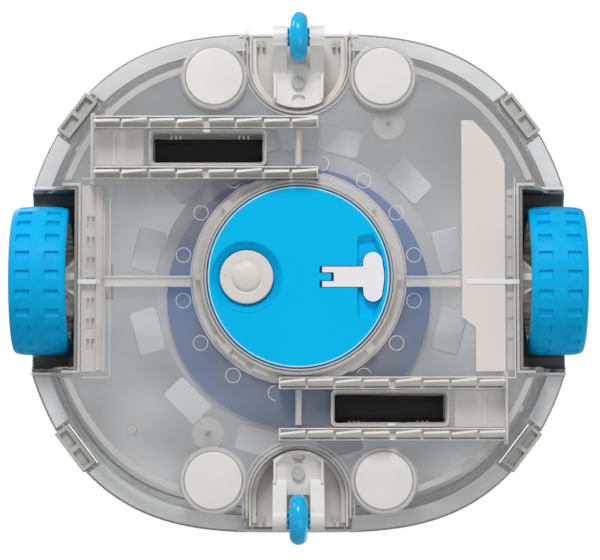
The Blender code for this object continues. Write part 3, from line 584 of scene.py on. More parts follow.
def rim_bands():
    """What shows inside the clear rim: its thin outline and its wall, both dark bands of painted shade where
    the clear wall is seen edge on, a pale flange and a pale ledge.
    """
    bands = {"rim_outline": ("wall_shade", -0.0003, 0.0003, 0.0556, 0.0590, 0.0012),
             "rim_flange": ("flange", 0.0010, 0.0114, 0.0546, 0.0556, 0.0028),
             "rim_wall": ("wall_shade", 0.0163, 0.0178, 0.0378, 0.0388, 0.0040),
             "rim_ledge": ("clear_warm", 0.0208, 0.0250, 0.0298, 0.0305, 0.0050)}
    for name, (look, near, far, low, high, spare) in bands.items():
        band = body_loft(name, [(near, low), (far, low), (far, high), (near, high)], closed=True)
        cut(band, *rim_cuts(spare), *boss_cuts())
        show(band, look, "chassis", bevel=0)


def boss_rims():
    """The clear wall of the boss round each ballast cap, seen end on."""
    for number, (side_x, side_y) in enumerate(CORNERS, 1):
        wall = turned("boss_rim_%d" % number, [(0.0204, 0.0250), (0.0204, 0.0232), (0.0208, 0.0229),
                                               (0.0224, 0.0231), (0.0229, 0.0238), (0.0230, 0.0262),
                                               (0.0236, 0.0266), (0.0236, 0.0300), (0.0227, 0.0300),
                                               (0.0227, 0.0250)], sides=96)
        place(Matrix.Translation((side_x * CAP_X, side_y * CAP_Y, 0)), wall)
        show(wall, "clear_warm", "chassis", bevel=0)


def radial_ribs():
    """A channel-shaped rib on each side of the pod, from the ring to the axle's boss."""
    for side, turn in SIDES.items():
        far = 0.1340 if side == "left" else 0.1120
        floor = box("radial_rib_" + side, (0.0742, -0.0030, 0.0240), (far, 0.0030, 0.0279))
        lips = [box("lip", (0.0742, y, 0.0222), (far, y + 0.0014, 0.0270)) for y in (-0.0038, 0.0024)]
        join(floor, *lips)
        place(turn, floor)
        place(Matrix.Translation((0, RIB_SHIFT, 0)), floor)
        show(floor, "clear_warm", "chassis", bevel=0.0003)
        # The bright spine along the rib is painted highlight.
        spine = box("axle_rib_" + side, (far + 0.004, -0.0016, 0.0262), (0.1530, 0.0016, 0.0279))
        place(turn, spine)
        place(Matrix.Translation((0, RIB_SHIFT, 0)), spine)
        show(spine, "edge", "chassis", bevel=0.0003)


def screw_bosses():
    """Clear screw bosses seen through the tray: small ones near the rim, two wide ones with a dark core of
    painted shade.
    """
    small = [(-0.1315, -0.1165), (-0.1520, -0.0895), (0.1315, 0.1165), (0.1520, 0.0895), (-0.1150, 0.1050)]
    for number, (x, y) in enumerate(small, 1):
        profile = [(0.0012, 0.0310), (0.0030, 0.0310), (0.0036, 0.0325), (0.0036, 0.0440), (0.0012, 0.0440)]
        boss = turned("screw_boss_%d" % number, profile, sides=40)
        place(Matrix.Translation((x, y, 0.0)), boss)
        show(boss, "clear_warm", "chassis", bevel=0)
    for number, turn in enumerate(SIDES.values(), 1):
        profile = [(0.0018, 0.0310), (0.0108, 0.0310), (0.0120, 0.0325), (0.0114, 0.0500), (0.0018, 0.0500)]
        spot = turn @ Matrix.Translation((0.0625, -0.1080, 0.0))
        boss = place(spot, turned("wide_boss_%d" % number, profile, sides=48))
        show(boss, "clear_warm", "chassis", bevel=0)
        # The dark core is painted shade in the boss's bore.
        core = place(spot, rod("boss_core_%d" % number, 0.0032, (0, 0, 0.0320), (0, 0, 0.0495), sides=24))
        show(core, "shade", "chassis", bevel=0.0002)


def inlet_frames():
    """The panel round each inlet: end wall, apron and cross rib."""
    for end, turn in INLETS.items():
        apron = prism("inlet_apron_" + end, rounded_rectangle((-0.1418, -0.1034), (-0.1076, -0.0780), 0.0008),
                      0.0262, 0.0278)
        place(turn, apron)
        show(apron, "clear_warm", "chassis", bevel=0.0003)
        wall = box("inlet_end_wall_" + end, (-0.1438, -0.1130, 0.0175), (-0.1421, -0.0670, 0.0279))
        foot = box("foot", (-0.1445, -0.1150, 0.0262), (-0.1415, -0.0650, 0.0278))
        place(turn, join(wall, foot))
        show(wall, "clear_warm", "chassis", bevel=0.0004)
        rib = box("cross_rib_" + end, (-0.0013, -0.1020, 0.0195), (0.0013, -0.0780, 0.0279))
        foot = box("foot", (-0.0022, -0.1020, 0.0262), (0.0022, -0.0780, 0.0278))
        place(turn, join(rib, foot))
        show(rib, "clear_warm", "chassis", bevel=0.0005)
        # The bright line on the apron is painted highlight.
        strip = box("apron_line_" + end, (-0.1286, -0.1030, 0.0257), (-0.1278, -0.0784, 0.0262))
        place(turn, strip)
        show(strip, "edge", "chassis", bevel=0)


# Inlets and wipers.

def inlet_duct(end, turn):
    low, high = grown(INLET_LOW, INLET_HIGH, -0.0022)
    duct = prism("duct_body_" + end, rounded_rectangle(INLET_LOW, INLET_HIGH, 0.0032), 0.0262, 0.0560)
    cut(duct, prism("throat", rounded_rectangle(low, high, 0.0022), 0.010, 0.070))
    low, high = grown(INLET_LOW, INLET_HIGH, 0.0004)
    collar = prism("inlet_collar_" + end, rounded_rectangle(low, high, 0.0036), 0.0238, 0.0261)
    low, high = grown(INLET_LOW, INLET_HIGH, -0.0010)
    cut(collar, prism("inside", rounded_rectangle(low, high, 0.0030), 0.010, 0.070))
    place(turn, collar)
    show(collar, "clear_warm", "chassis", bevel=0.0004)
    tab = prism("duct_tab", rounded_rectangle((-0.0668, -0.1030), (-0.0612, -0.1008), 0.0008), 0.0226, 0.0238)
    teeth = []
    for x in (-0.0900, -0.0868, -0.0836, -0.0424, -0.0392, -0.0360):
        teeth.append(box("knuckle", (x, -0.1008, 0.0400), (x + 0.0018, -0.0985, 0.0436)))
    place(turn, duct)
    show(duct, "duct", "chassis", "inlet_duct_" + end, bevel=0.0005)
    place(turn, tab)
    tab.name = "inlet_tab_" + end
    show(tab, "white", "chassis", bevel=0.0004)
    knuckles = place(turn, merged("hinge_knuckles_" + end, teeth))
    show(knuckles, "grey", "chassis", bevel=0.0003)


def inlet_flap(end, turn):
    left, right = INLET_LOW[0] + 0.0028, INLET_HIGH[0] - 0.0028
    far = INLET_HIGH[1] - 0.0028
    rings = []
    for i in range(13):
        t = i / 12
        y = FLAP_HINGE_Y + (far - FLAP_HINGE_Y) * t
        sag = 0.0004 * math.sin(math.pi * t)
        z = FLAP_HINGE_Z - sag
        half = 0.0007
        rings.append([(left, y, z - half), (right, y, z - half), (right, y, z + half), (left, y, z + half)])
    flap = loft("flap_leaf_" + end, rings)
    knuckle = rod("knuckle", 0.0016, (left + 0.0002, FLAP_HINGE_Y, FLAP_HINGE_Z),
                  (right - 0.0002, FLAP_HINGE_Y, FLAP_HINGE_Z), sides=20)
    pin = rod("pin", 0.0010, (left - 0.0016, FLAP_HINGE_Y, FLAP_HINGE_Z),
              (right + 0.0016, FLAP_HINGE_Y, FLAP_HINGE_Z), sides=16)
    ribs = [box("rib", (left + 0.006, FLAP_HINGE_Y + 0.003 + 0.004 * i, FLAP_HINGE_Z - 0.0012),
                (right - 0.006, FLAP_HINGE_Y + 0.0036 + 0.004 * i, FLAP_HINGE_Z - 0.0005)) for i in range(4)]
    join(flap, knuckle, pin, *ribs)
    place(turn, flap)
    show(flap, "flap", "inlet_flap_" + end, "inlet_flap_" + end, bevel=0.0002)


def paddle(x0, x1, y, lean, twist):
    """One wiper blade: it leans over, twists along its length and thins toward its free edge."""
    columns, rows = 9, 5
    root, tip = 0.0262, 0.0078
    rings = []
    for i in range(columns):
        t = i / (columns - 1)
        x = x0 + (x1 - x0) * t
        across = lean + twist * (t - 0.5)
        edge = tip + 0.0010 * (2 * t - 1) ** 2
        front, back = [], []
        for j in range(rows):
            s = j / (rows - 1)
            z = root + (edge - root) * s
            centre = y + across * s ** 1.3
            half = 0.0014 - 0.0006 * s
            front.append((x, centre - half, z))
            back.append((x, centre + half, z))
        rings.append(front + back[::-1])
    return loft("paddle", rings)


def wiper(end, row, turn):
    """A channel-shaped rail with eight paddles standing in it."""
    y = WIPER_Y[row]
    left, right = WIPER_X
    name = "%s_%s" % (row, end)
    middle_gap, slit, count = 0.0040, 0.0012, 8
    length = (right - left - middle_gap - (count - 2) * slit) / count
    blades = []
    x = left
    for i in range(count):
        wave = math.sin(2.3 * i + (1.1 if row == "outer" else 0.2))
        lean = 0.0018 + 0.0004 * wave
        twist = -0.0013 + 0.0006 * math.cos(3.1 * i)
        blades.append(paddle(x + 0.0002, x + length - 0.0002, y - 0.0010, lean, twist))
        x += length + (middle_gap if i == count // 2 - 1 else slit)
    strip = place(turn, merged("paddles_" + name, blades))
    show(strip, "paddle", "chassis", "wiper_" + name, bevel=0.0002)
    half, lip, low = 0.0043, 0.0009, 0.0232
    rail = box("wiper_rail_" + name, (left - 0.0004, y - half, low), (right + 0.0006, y + half, 0.0277))
    cut(rail, box("trough", (left + 0.0006, y - half + lip, 0.020), (right - 0.0006, y + half - lip, 0.0264)))
    place(turn, rail)
    show(rail, "rail", "chassis", bevel=0.0003)
    # A darker floor strip in the rail's trough: painted shade between the paddles.
    trough_shade = box("rail_trough_shade_" + name, (left + 0.0008, y - half + lip, 0.0262),
              (right - 0.0008, y + half - lip, 0.0266))
    place(turn, trough_shade)
    show(trough_shade, "trough_shade", "chassis", bevel=0)


def inlets():
    for end, turn in INLETS.items():
        inlet_duct(end, turn)
        inlet_flap(end, turn)
        for row in WIPER_Y:
            wiper(end, row, turn)


# Pod.

def handle_outline(margin, root_room):
    """The T of the pull handle with its forked root, grown by margin and longer at its root by root_room."""
    root, neck, stem = 0.0163 - root_room, 0.0445 - margin, 0.0070 + margin
    lobe = 0.0066 + margin
    head_x, head_y = neck + lobe + 0.0002, 0.0105
    outline = [(root, -stem), (neck, -stem)]
    outline += arc(head_x, -head_y, lobe, 180, 345, 16)
    outline += [(head_x + lobe + 0.0009, -0.004), (head_x + lobe + 0.0012, 0.0),
                (head_x + lobe + 0.0009, 0.004)]
    outline += arc(head_x, head_y, lobe, 15, 180, 16)
    half, fork_end = 0.0031 - margin, 0.0243 - root_room
    outline += [(neck, stem), (root, stem), (root, half), (fork_end, half), (fork_end, -half)]
    return outline + [(root, -half)]


def pod_cover():
    profile = [(0.0, 0.0277), (POD_RADIUS, 0.0277), (POD_RADIUS, POD_LOW + 0.0016),
               (POD_RADIUS - 0.0004, POD_LOW + 0.0006), (POD_RADIUS - 0.0016, POD_LOW), (0.0, POD_LOW)]
    cover = turned("pod_face", profile, sides=192)
    cuts = [rod("port_recess", 0.0252, (PORT_X, 0, POD_LOW - 0.0006), (PORT_X, 0, 0.0250), 0.0196, sides=96),
            rod("socket_hole", 0.0123, (PORT_X, 0, 0.020), (PORT_X, 0, 0.032), sides=48),
            rod("button_hole", 0.0022, (PORT_X, 0.0160, 0.020), (PORT_X, 0.0160, 0.032), sides=20),
            prism("handle_slot", handle_outline(0.0005, 0.0018), POD_LOW - 0.002, 0.0257)]
    outer = arc(0, 0, 0.0598, -31, 31, 24)
    inner = [(0.0412, 0.0290), (0.0403, 0.0250), (0.0403, -0.0250), (0.0412, -0.0290)]
    shallow = [(x, y, POD_LOW - 0.0005) for x, y in outer + inner]
    deep = [(0.0415 + (x - 0.0403) * 0.88, y * 0.80, 0.0247) for x, y in outer + inner]
    cut(cover, *cuts, loft("finger_recess", [shallow, deep]))
    show(cover, "blue", "chassis", "pod_cover", bevel=0.0005, segments=3)
    wall = turned("port_recess_wall", [(0.0250, 0.0196), (0.0194, 0.0249), (0.0190, 0.0249), (0.0190, 0.0243),
                                       (0.0192, 0.0241), (0.0244, 0.0193), (0.0249, 0.0193)], sides=128)
    place(Matrix.Translation((PORT_X, 0, 0)), wall)
    show(wall, "port_blue", "chassis", bevel=0)
    # A thin white ring just inside the pod's rim: painted highlight on the cover's rounded edge.
    bead = turned("pod_edge_highlight", [(0.0618, 0.0197), (0.0618, 0.0194), (0.0621, 0.0192), (0.0624, 0.0194),
                               (0.0624, 0.0197)], sides=192)
    show(bead, "lever", "chassis", bevel=0)


def pod_edge():
    """The seal's bright lip round the cover, and the clear retaining ring with its lugs."""
    seal = turned("seal_lip", [(0.0637, 0.0275), (0.0637, 0.0200), (0.0641, 0.0196), (0.0647, 0.0196),
                               (0.0651, 0.0200), (0.0651, 0.0275)], sides=192)
    show(seal, "clip", "chassis", "pod_seal", bevel=0)
    ring = turned("ring_body", [(0.0656, 0.0277), (0.0656, 0.0207), (0.0662, 0.0203), (0.0674, 0.0205),
                                (0.0680, 0.0214), (0.0681, 0.0262), (0.0732, 0.0264), (0.0737, 0.0268),
                                (0.0737, 0.0277)], sides=192)
    lugs = []
    for i in range(8):
        diagonal = i % 2 == 0
        half = 0.0034 if diagonal else 0.0020
        lug = box("lug", (0.0672, -half, 0.0212), (0.0722 if diagonal else 0.0712, half, 0.0268))
        lugs.append(place(Matrix.Rotation(math.radians(45 * i + 45), 4, "Z"), lug))
    for i in range(3):
        bar = box("bar", (0.0677, -0.0060, 0.0236), (0.0716, 0.0060, 0.0268))
        lugs.append(place(Matrix.Rotation(math.radians(112 + 14 * i), 4, "Z"), bar))
    join(ring, *lugs)
    cuts = []
    for turn in INLETS.values():
        cuts.append(place(turn, box("rail_clearance", (-0.20, -0.09, 0.010), (0.0140, -0.0679, 0.030))))
    cut(ring, *cuts)
    show(ring, "clear_warm", "chassis", "retaining_ring", bevel=0.0003)
    band = turned("ring_band", [(0.0740, 0.0279), (0.0740, 0.0270), (0.0749, 0.0270), (0.0749, 0.0279)],
                  sides=160)
    cuts = [place(turn, box("rail_clearance", (-0.20, -0.09, 0.010), (0.0160, -0.0650, 0.030)))
            for turn in INLETS.values()]
    cut(band, *cuts)
    show(band, "clear_warm", "chassis", bevel=0)


def pull_handle():
    handle = prism("t_handle", handle_outline(0.0, 0.0), POD_LOW + 0.0001, 0.0236)
    cut(handle, rod("bore", 0.0011, (HANDLE_PIN_X, -0.01, HANDLE_PIN_Z), (HANDLE_PIN_X, 0.01, HANDLE_PIN_Z)))
    show(handle, "lever", "pull_handle", "pull_handle", bevel=0.0006, segments=3)
    dress("pull_handle_pin", "steel", bevel=0)


def charging_port():
    slopes = [math.radians(degrees) for degrees in range(0, 86, 9)]
    dome = [(0.0098 * math.sin(slope), 0.0199 - 0.0026 * math.cos(slope)) for slope in slopes]
    face = [(0.0, dome[0][1])] + dome + [(0.0103, 0.0201), (0.0108, 0.0203), (0.0113, 0.0201),
                                         (0.0120, 0.0199), (0.0172, 0.0199), (0.0182, 0.0202),
                                         (0.0186, 0.0210), (0.0186, 0.0236), (0.0058, 0.0236),
                                         (0.0058, 0.0310), (0.0, 0.0310)]
    cap = turned("port_cap", face, sides=128)
    dot = rod("dot", 0.0010, (-0.0148, 0, 0.0190), (-0.0148, 0, 0.0203), sides=20)
    cut(cap, dot)
    place(Matrix.Translation((PORT_X, 0, 0)), cap)
    show(cap, "cap", "charge_cap", "charge_cap", bevel=0.0003)
    dress("charge_socket", "dark")
    dress("power_button", "lever", bevel=0.0003)


# Wheels.

def along_x(centre):
    """Turns a piece made about Z so that its axis lies along X through centre."""
    return Matrix.Translation(centre) @ Matrix.Rotation(math.pi / 2, 4, "Y")


def fine_steps(edges, half_width, soft, spare):
    """Sorted stops from -half_width to half_width, doubled at each edge so that a step there stays crisp."""
    stops = {round(-half_width + 2 * half_width * i / spare, 6) for i in range(spare + 1)}
    for edge in edges:
        stops |= {round(edge - soft, 6), round(edge + soft, 6)}
    return sorted(stop for stop in stops if abs(stop) <= half_width)


def tread(side, turn):
    """The tyre: a crowned band with two rows of wedge-shaped pockets, round shoulders and side walls."""
    count, depth, row_x, row_half, pocket_half = 24, 0.0020, 0.0100, 0.0046, 0.21
    lead = 1 if side == "right" else -1
    row_edges = [sign * row_x + edge for sign in (-1, 1) for edge in (-row_half, row_half)]
    width_stops = fine_steps(row_edges, 0.0172, 0.00022, 10)
    shares = [-0.5, -0.36, -pocket_half - 0.014, -pocket_half + 0.014, -0.07, 0.07, pocket_half - 0.014,
              pocket_half + 0.014, 0.36]
    turn_stops = [(cell + share, share) for cell in range(count) for share in shares]

    def pocket_depth(x, share):
        if abs(abs(x) - row_x) > row_half or abs(share) > pocket_half:
            return 0.0
        slope = 0.5 + lead * share / (2 * pocket_half)
        return depth * (1.0 - 0.72 * slope)

    def ring(x, radius_at):
        points = []
        for position, share in turn_stops:
            angle = 2 * math.pi * position / count
            radius = radius_at(share)
            points.append((radius * math.cos(angle), radius * math.sin(angle), x))
        return points

    def crown(x):
        top = WHEEL_RADIUS - 0.0006 * (x / 0.0172) ** 2 - 0.0006 * (abs(x) / 0.0172) ** 8
        return ring(x, lambda share: top - pocket_depth(x, share))

    shoulder = [(0.0503, 0.0184), (0.0494, 0.0192), (0.0478, 0.0196), (0.0440, 0.0192), (0.0440, 0.0143)]
    far_wall = [ring(x, lambda share, radius=radius: radius) for radius, x in shoulder]
    near_wall = [ring(-x, lambda share, radius=radius: radius) for radius, x in reversed(shoulder)]
    tyre = loft("tread_" + side, [crown(x) for x in width_stops] + far_wall + near_wall, closed=True)
    tyre.data.transform(along_x((WHEEL_X, 0.0, WHEEL_RADIUS)))
    place(turn, tyre)
    show(tyre, "tyre", "wheel_" + side, "tyre_" + side, bevel=0)


def hub(side, turn):
    """Spoked hub: a rim with bead lips, a dished web with six windows, ribs, and a short sleeve."""
    rim = turned("hub_rim", [(0.0437, 0.0190), (0.0437, -0.0190), (0.0404, -0.0190), (0.0398, -0.0060),
                             (0.0396, 0.0040), (0.0405, 0.0190)], sides=96)
    web = turned("web", [(0.0406, 0.0020), (0.0406, -0.0030), (0.0240, -0.0010), (0.0090, -0.0030),
                         (0.0090, 0.0030), (0.0240, 0.0045)], sides=96)
    sleeve = turned("sleeve", [(0.0098, -0.0140), (0.0098, 0.0165), (0.0053, 0.0165), (0.0053, -0.0140)],
                    sides=48)
    windows = []
    for i in range(6):
        outline = [(0.0165, -0.0045), (0.0355, -0.0125), (0.0372, 0.0), (0.0355, 0.0125), (0.0165, 0.0045)]
        window = prism("window", outline, -0.02, 0.02)
        windows.append(place(Matrix.Rotation(math.radians(60 * i), 4, "Z"), window))
    ribs = []
    for i in range(6):
        rib = box("rib", (0.0085, -0.0010, -0.0130), (0.0402, 0.0010, 0.0010))
        ribs.append(place(Matrix.Rotation(math.radians(60 * i + 30), 4, "Z"), rib))
        fin = box("fin", (0.0085, -0.0008, -0.0120), (0.0150, 0.0008, -0.0020))
        ribs.append(place(Matrix.Rotation(math.radians(60 * i), 4, "Z"), fin))
    cut(web, *windows)
    join(rim, web, *ribs, sleeve)
    cut(rim, rod("bore", 0.0053, (0, 0, -0.03), (0, 0, 0.03)))
    rim.name = "spoked_hub_" + side
    rim.data.transform(along_x((WHEEL_X, 0.0, WHEEL_RADIUS)))
    place(turn, rim)
    show(rim, "hub", "wheel_" + side, "wheel_hub_" + side, bevel=0.0004)
    for i in range(6):
        angle = math.radians(60 * i + 30)
        stud = rod("hub_stud_%s_%d" % (side, i + 1), 0.0017, (0, 0, -0.0142), (0, 0, -0.0126), 0.0022,
                   sides=16)
        stud.data.transform(along_x((WHEEL_X, 0.0, WHEEL_RADIUS))
                            @ Matrix.Translation((0.034 * math.cos(angle), 0.034 * math.sin(angle), 0.0)))
        place(turn, stud)
        show(stud, "warm_white", "wheel_" + side, bevel=0.0002)


def axle_boss(side, turn):
    """The clear finned boss that carries the stub axle between the wheel well and the hub."""
    cone = turned("axle_boss_" + side, [(0.0100, -0.0240), (0.0084, -0.0225), (0.0070, -0.0146),
                                        (0.0056, -0.0146), (0.0056, -0.0240)], sides=64)
    fins = []
    for i in range(8):
        outline = [(-0.0240, 0.0168), (-0.0240, 0.0060), (-0.0148, 0.0060), (-0.0148, 0.0082)]
        rings = [[(radius, y, z) for z, radius in outline] for y in (-0.0006, 0.0006)]
        fins.append(place(Matrix.Rotation(math.radians(45 * i), 4, "Z"), loft("fin", rings)))
    join(cone, *fins)
    cone.data.transform(along_x((WHEEL_X, 0.0, WHEEL_RADIUS)))
    place(turn, cone)
    show(cone, "fin", "chassis", bevel=0.0002)


def well_outline(margin, foot=0.0):
    """Side view of a wheel well, grown by margin: an arch over the wheel, from height foot up."""
    reach = ARCH_Y + margin
    return [(reach, foot)] + arc(0.0, WHEEL_RADIUS, reach, 0, 180, 48) + [(-reach, foot)]


def wheel_well(side, turn):
    """The arched lining of a wheel well, dark with painted shade, flush with the outside of the body, and its
    clear edging.
    """
    sections = [(0.0288, FLOOR), (0.0232, 0.0288), (0.0203, 0.0298), (0.0176, 0.0333), (0.0161, 0.0392),
                (0.0143, 0.0483), (0.0121, 0.0515), (0.0093, 0.0524), (0.0033, 0.0524), (0.0006, 0.0550),
                (0.0003, 0.0590)]
    sections += [(inset + 0.0003, z) for inset, z in FENDER]
    arch = side_view("arch_lining_" + side, well_outline(0.0, 0.02), ARCH_X, 0.20)
    boolean(arch, "INTERSECT", [body_loft("body_outside", sections)])
    inside = side_view("arch_inside", well_outline(-0.0020), ARCH_X + 0.0020, 0.25)
    cut(arch, inside, rod("axle_hole", 0.0053, (0.14, 0, WHEEL_RADIUS), (0.17, 0, WHEEL_RADIUS)))
    place(turn, arch)
    show(arch, "shadow", "chassis", "wheel_arch_" + side, bevel=0.0004)
    # Dark plates at the foot of each arch: painted shade of the deep well.
    ledges = []
    for sign in (-1, 1):
        near, far = sorted((sign * 0.0532, sign * 0.0616))
        ledges.append(box("ledge", (ARCH_X + 0.0021, near, 0.0600), (0.1858, far, 0.0612)))
    ledge = place(turn, merged("well_ledge_" + side, ledges))
    show(ledge, "ledge", "chassis", bevel=0.0003)
    inner, outer = 0.0005, 0.0024
    edging = [(ARCH_X - outer, -ARCH_Y - outer), (0.1640, -ARCH_Y - outer), (0.1640, -ARCH_Y - inner),
              (ARCH_X - inner, -ARCH_Y - inner), (ARCH_X - inner, ARCH_Y + inner), (0.1640, ARCH_Y + inner),
              (0.1640, ARCH_Y + outer), (ARCH_X - outer, ARCH_Y + outer)]
    frame_piece = prism("well_frame_" + side, edging, 0.0264, 0.0279)
    place(turn, frame_piece)
    show(frame_piece, "clear_warm", "chassis", bevel=0.0004)
    # The bright lip over each well is painted highlight.
    lips = []
    for sign in (-1, 1):
        near, far = sorted((sign * (ARCH_Y + 0.0004), sign * (ARCH_Y + 0.0026)))
        lips.append(box("lip", (0.1600, near, 0.0500), (0.1866, far, 0.0519)))
    lip = place(turn, merged("well_lip_" + side, lips))
    show(lip, "edge", "chassis", bevel=0.0004)


def left_baffle():
    """Stepped panel with a double column of small slots."""
    low = FLOOR_TOP + 0.0003
    panel = box("baffle_panel_left", (-0.1508, -0.0650, low), (-0.1340, 0.0650, 0.0350))
    slots = []
    for near, far in ((-0.1470, -0.1450), (-0.1436, -0.1416)):
        slots += [box("slot", (near, -0.0430 + 0.0142 * i, low - 0.001), (far, -0.0350 + 0.0142 * i, 0.0337))
                  for i in range(7)]
    cut(panel, *slots)
    show(panel, "warm_white", "chassis", "side_baffle_left", bevel=0.0004)
    step = box("baffle_step_left", (-0.1402, -0.0640, 0.0262), (-0.1360, 0.0640, 0.0279))
    groove = box("groove", (-0.1392, -0.0625, 0.0255), (-0.1372, 0.0625, 0.0268))
    cut(step, groove)
    show(step, "clear_warm", "chassis", bevel=0.0004)
    bars = [box("bar", (-0.1500, y, 0.0268), (-0.1300, y + 0.0010, 0.0279)) for y in (-0.0696, 0.0686)]
    bars.append(box("bar", (-0.1310, -0.0696, 0.0268), (-0.1302, 0.0696, 0.0279)))
    lines = merged("baffle_lines_left", bars)
    show(lines, "clear_warm", "chassis", bevel=0)


def right_baffle():
    """Broad opaque panel with a chamfered notch, beside a column of small slots."""
    outline = [(0.1130, -0.1100), (0.1210, -0.1100), (0.1320, -0.0990), (0.1390, -0.0890), (0.1432, -0.0800),
               (0.1432, 0.0650), (0.1225, 0.0650), (0.1225, 0.0345), (0.1130, 0.0275)]
    panel = prism("baffle_panel_right", outline, 0.0268, 0.0279)
    show(panel, "panel", "chassis", "side_baffle_right", bevel=0.0003)
    low = FLOOR_TOP + 0.0003
    strip = box("baffle_rack_right", (0.1436, -0.0620, low), (0.1500, 0.0640, 0.0335))
    slots = [box("slot", (0.1446, -0.0580 + 0.0142 * i, low - 0.001), (0.1484, -0.0475 + 0.0142 * i, 0.0325))
             for i in range(8)]
    cut(strip, *slots)
    show(strip, "warm_white", "chassis", bevel=0.0004)
    bars = [box("bar", (0.1494, -0.0696, 0.0264), (0.1500, 0.0696, 0.0279)),
            box("bar", (0.1432, 0.0688, 0.0268), (0.1500, 0.0696, 0.0279))]
    lines = merged("baffle_lines_right", bars)
    show(lines, "clear_rim", "chassis", bevel=0)


def wheels():
    for side, turn in SIDES.items():
        tread(side, turn)
        hub(side, turn)
        axle_boss(side, turn)
        wheel_well(side, turn)
        dress("axle_" + side, "steel", bevel=0.0002)
        dress("axle_block_" + side, "grey", bevel=0.0006)
    left_baffle()
    right_baffle()


# Guide units.

def side_view(name, outline, low, high):
    """A (y, z) outline, as thick as low to high along X."""
    rings = [[(x, y, z) for y, z in outline] for x in (low, high)]
    return loft(name, rings)


def front_arm_outline():
    return ([(0.1395, 0.0340), (0.1395, 0.0298), (0.1440, 0.0290), (0.1600, 0.0120)]
            + arc(ROLLER_Y, ROLLER_Z, 0.0078, 230, 330, 8) + [(0.1748, 0.0180), (0.1748, 0.0340)])


def rear_arm_outline():
    return ([(0.1395, 0.0340), (0.1395, 0.0296), (0.1450, 0.0272)]
            + arc(ROLLER_Y, ROLLER_Z, 0.0078, 205, 340, 12) + [(0.1748, 0.0180), (0.1748, 0.0340)])


def guide_bracket(end, turn):
    """The swivelling bracket: a plate with raised edges and two arms. The front and rear plates differ."""
    front = end == "front"
    fall = 0.0045 if front else 0.0066
    inner_end = [(0.0173 * i / 8, 0.1194 + fall * abs(i / 8) ** 2.2) for i in range(-8, 9)]
    plate = prism("bracket_body_" + end, inner_end + [(0.0173, 0.1500), (-0.0173, 0.1500)], 0.0300, 0.0340)
    outline = front_arm_outline() if front else rear_arm_outline()
    arms = [side_view("arm", outline, low, low + 0.0097) for low in (0.0081, -0.0178)]
    edges = [box("edge", (x, 0.1255, 0.0268), (x + 0.0019, 0.1420, 0.0320)) for x in (-0.0173, 0.0154)]
    boss = rod("boss", 0.0080, (0, PIVOT_Y, 0.0335), (0, PIVOT_Y, POCKET_TOP - 0.0003))
    tools = [*arms, *edges, boss]
    if not front:
        inner_side = [(x * 0.90, y + 0.0019) for x, y in reversed(inner_end)]
        tools.append(prism("lip", inner_end + inner_side, 0.0268, 0.0320))
    join(plate, *tools)
    holes = [rod("bore", 0.0028, (0, PIVOT_Y, 0.020), (0, PIVOT_Y, 0.060), sides=48),
             rod("dish", 0.0040, (0, PIVOT_Y, 0.020), (0, PIVOT_Y, 0.0306), sides=48),
             rod("pin_bore", 0.0017, (-0.03, ROLLER_Y, ROLLER_Z), (0.03, ROLLER_Y, ROLLER_Z), sides=24)]
    if front:
        oval = rounded_rectangle((-0.0045, 0.1222), (0.0045, 0.1286), 0.0031)
        holes.append(prism("oval", oval, 0.020, 0.0325))
    else:
        notch = rounded_rectangle((-0.0042, 0.1225), (0.0042, 0.1258), 0.0008)
        holes.append(prism("notch", notch, 0.020, 0.0325))
        holes.append(box("notch_foot", (-0.0026, 0.1250, 0.020), (0.0026, 0.1278, 0.0322)))
    cut(plate, *holes)
    place(turn, plate)
    show(plate, "bracket", "guide_" + end, "guide_bracket_" + end, bevel=0.0006, segments=3)


def roller(end, turn):
    edge = ROLLER_RADIUS
    tread_line = []
    for i in range(17):
        angle = math.radians(90 - 180 * i / 16)
        tread_line.append((edge - 0.0060 + 0.0060 * math.cos(angle), 0.0062 * math.sin(angle)))
    profile = ([(0.0019, 0.0070), (0.0056, 0.0070), (0.0062, 0.0066), (0.0066, 0.0056), (0.0090, 0.0055)]
               + tread_line + [(0.0090, -0.0055), (0.0066, -0.0056), (0.0062, -0.0066), (0.0056, -0.0070),
                               (0.0019, -0.0070)])
    wheel = turned("guide_roller_" + end, profile, sides=80)
    teeth = []
    for sign in (1, -1):
        for i in range(8):
            tooth = box("tooth", (0.0030, -0.0008, 0.0066), (0.0066, 0.0008, 0.0077))
            matrix = Matrix.Rotation(math.radians(45 * i), 4, "Z")
            if sign < 0:
                matrix = Matrix.Rotation(math.pi, 4, "X") @ matrix
            teeth.append(place(matrix, tooth))
    join(wheel, *teeth)
    wheel.data.transform(along_x((0.0, ROLLER_Y, ROLLER_Z)))
    place(turn, wheel)
    show(wheel, "roller", "roller_" + end, "roller_" + end, bevel=0.0002)


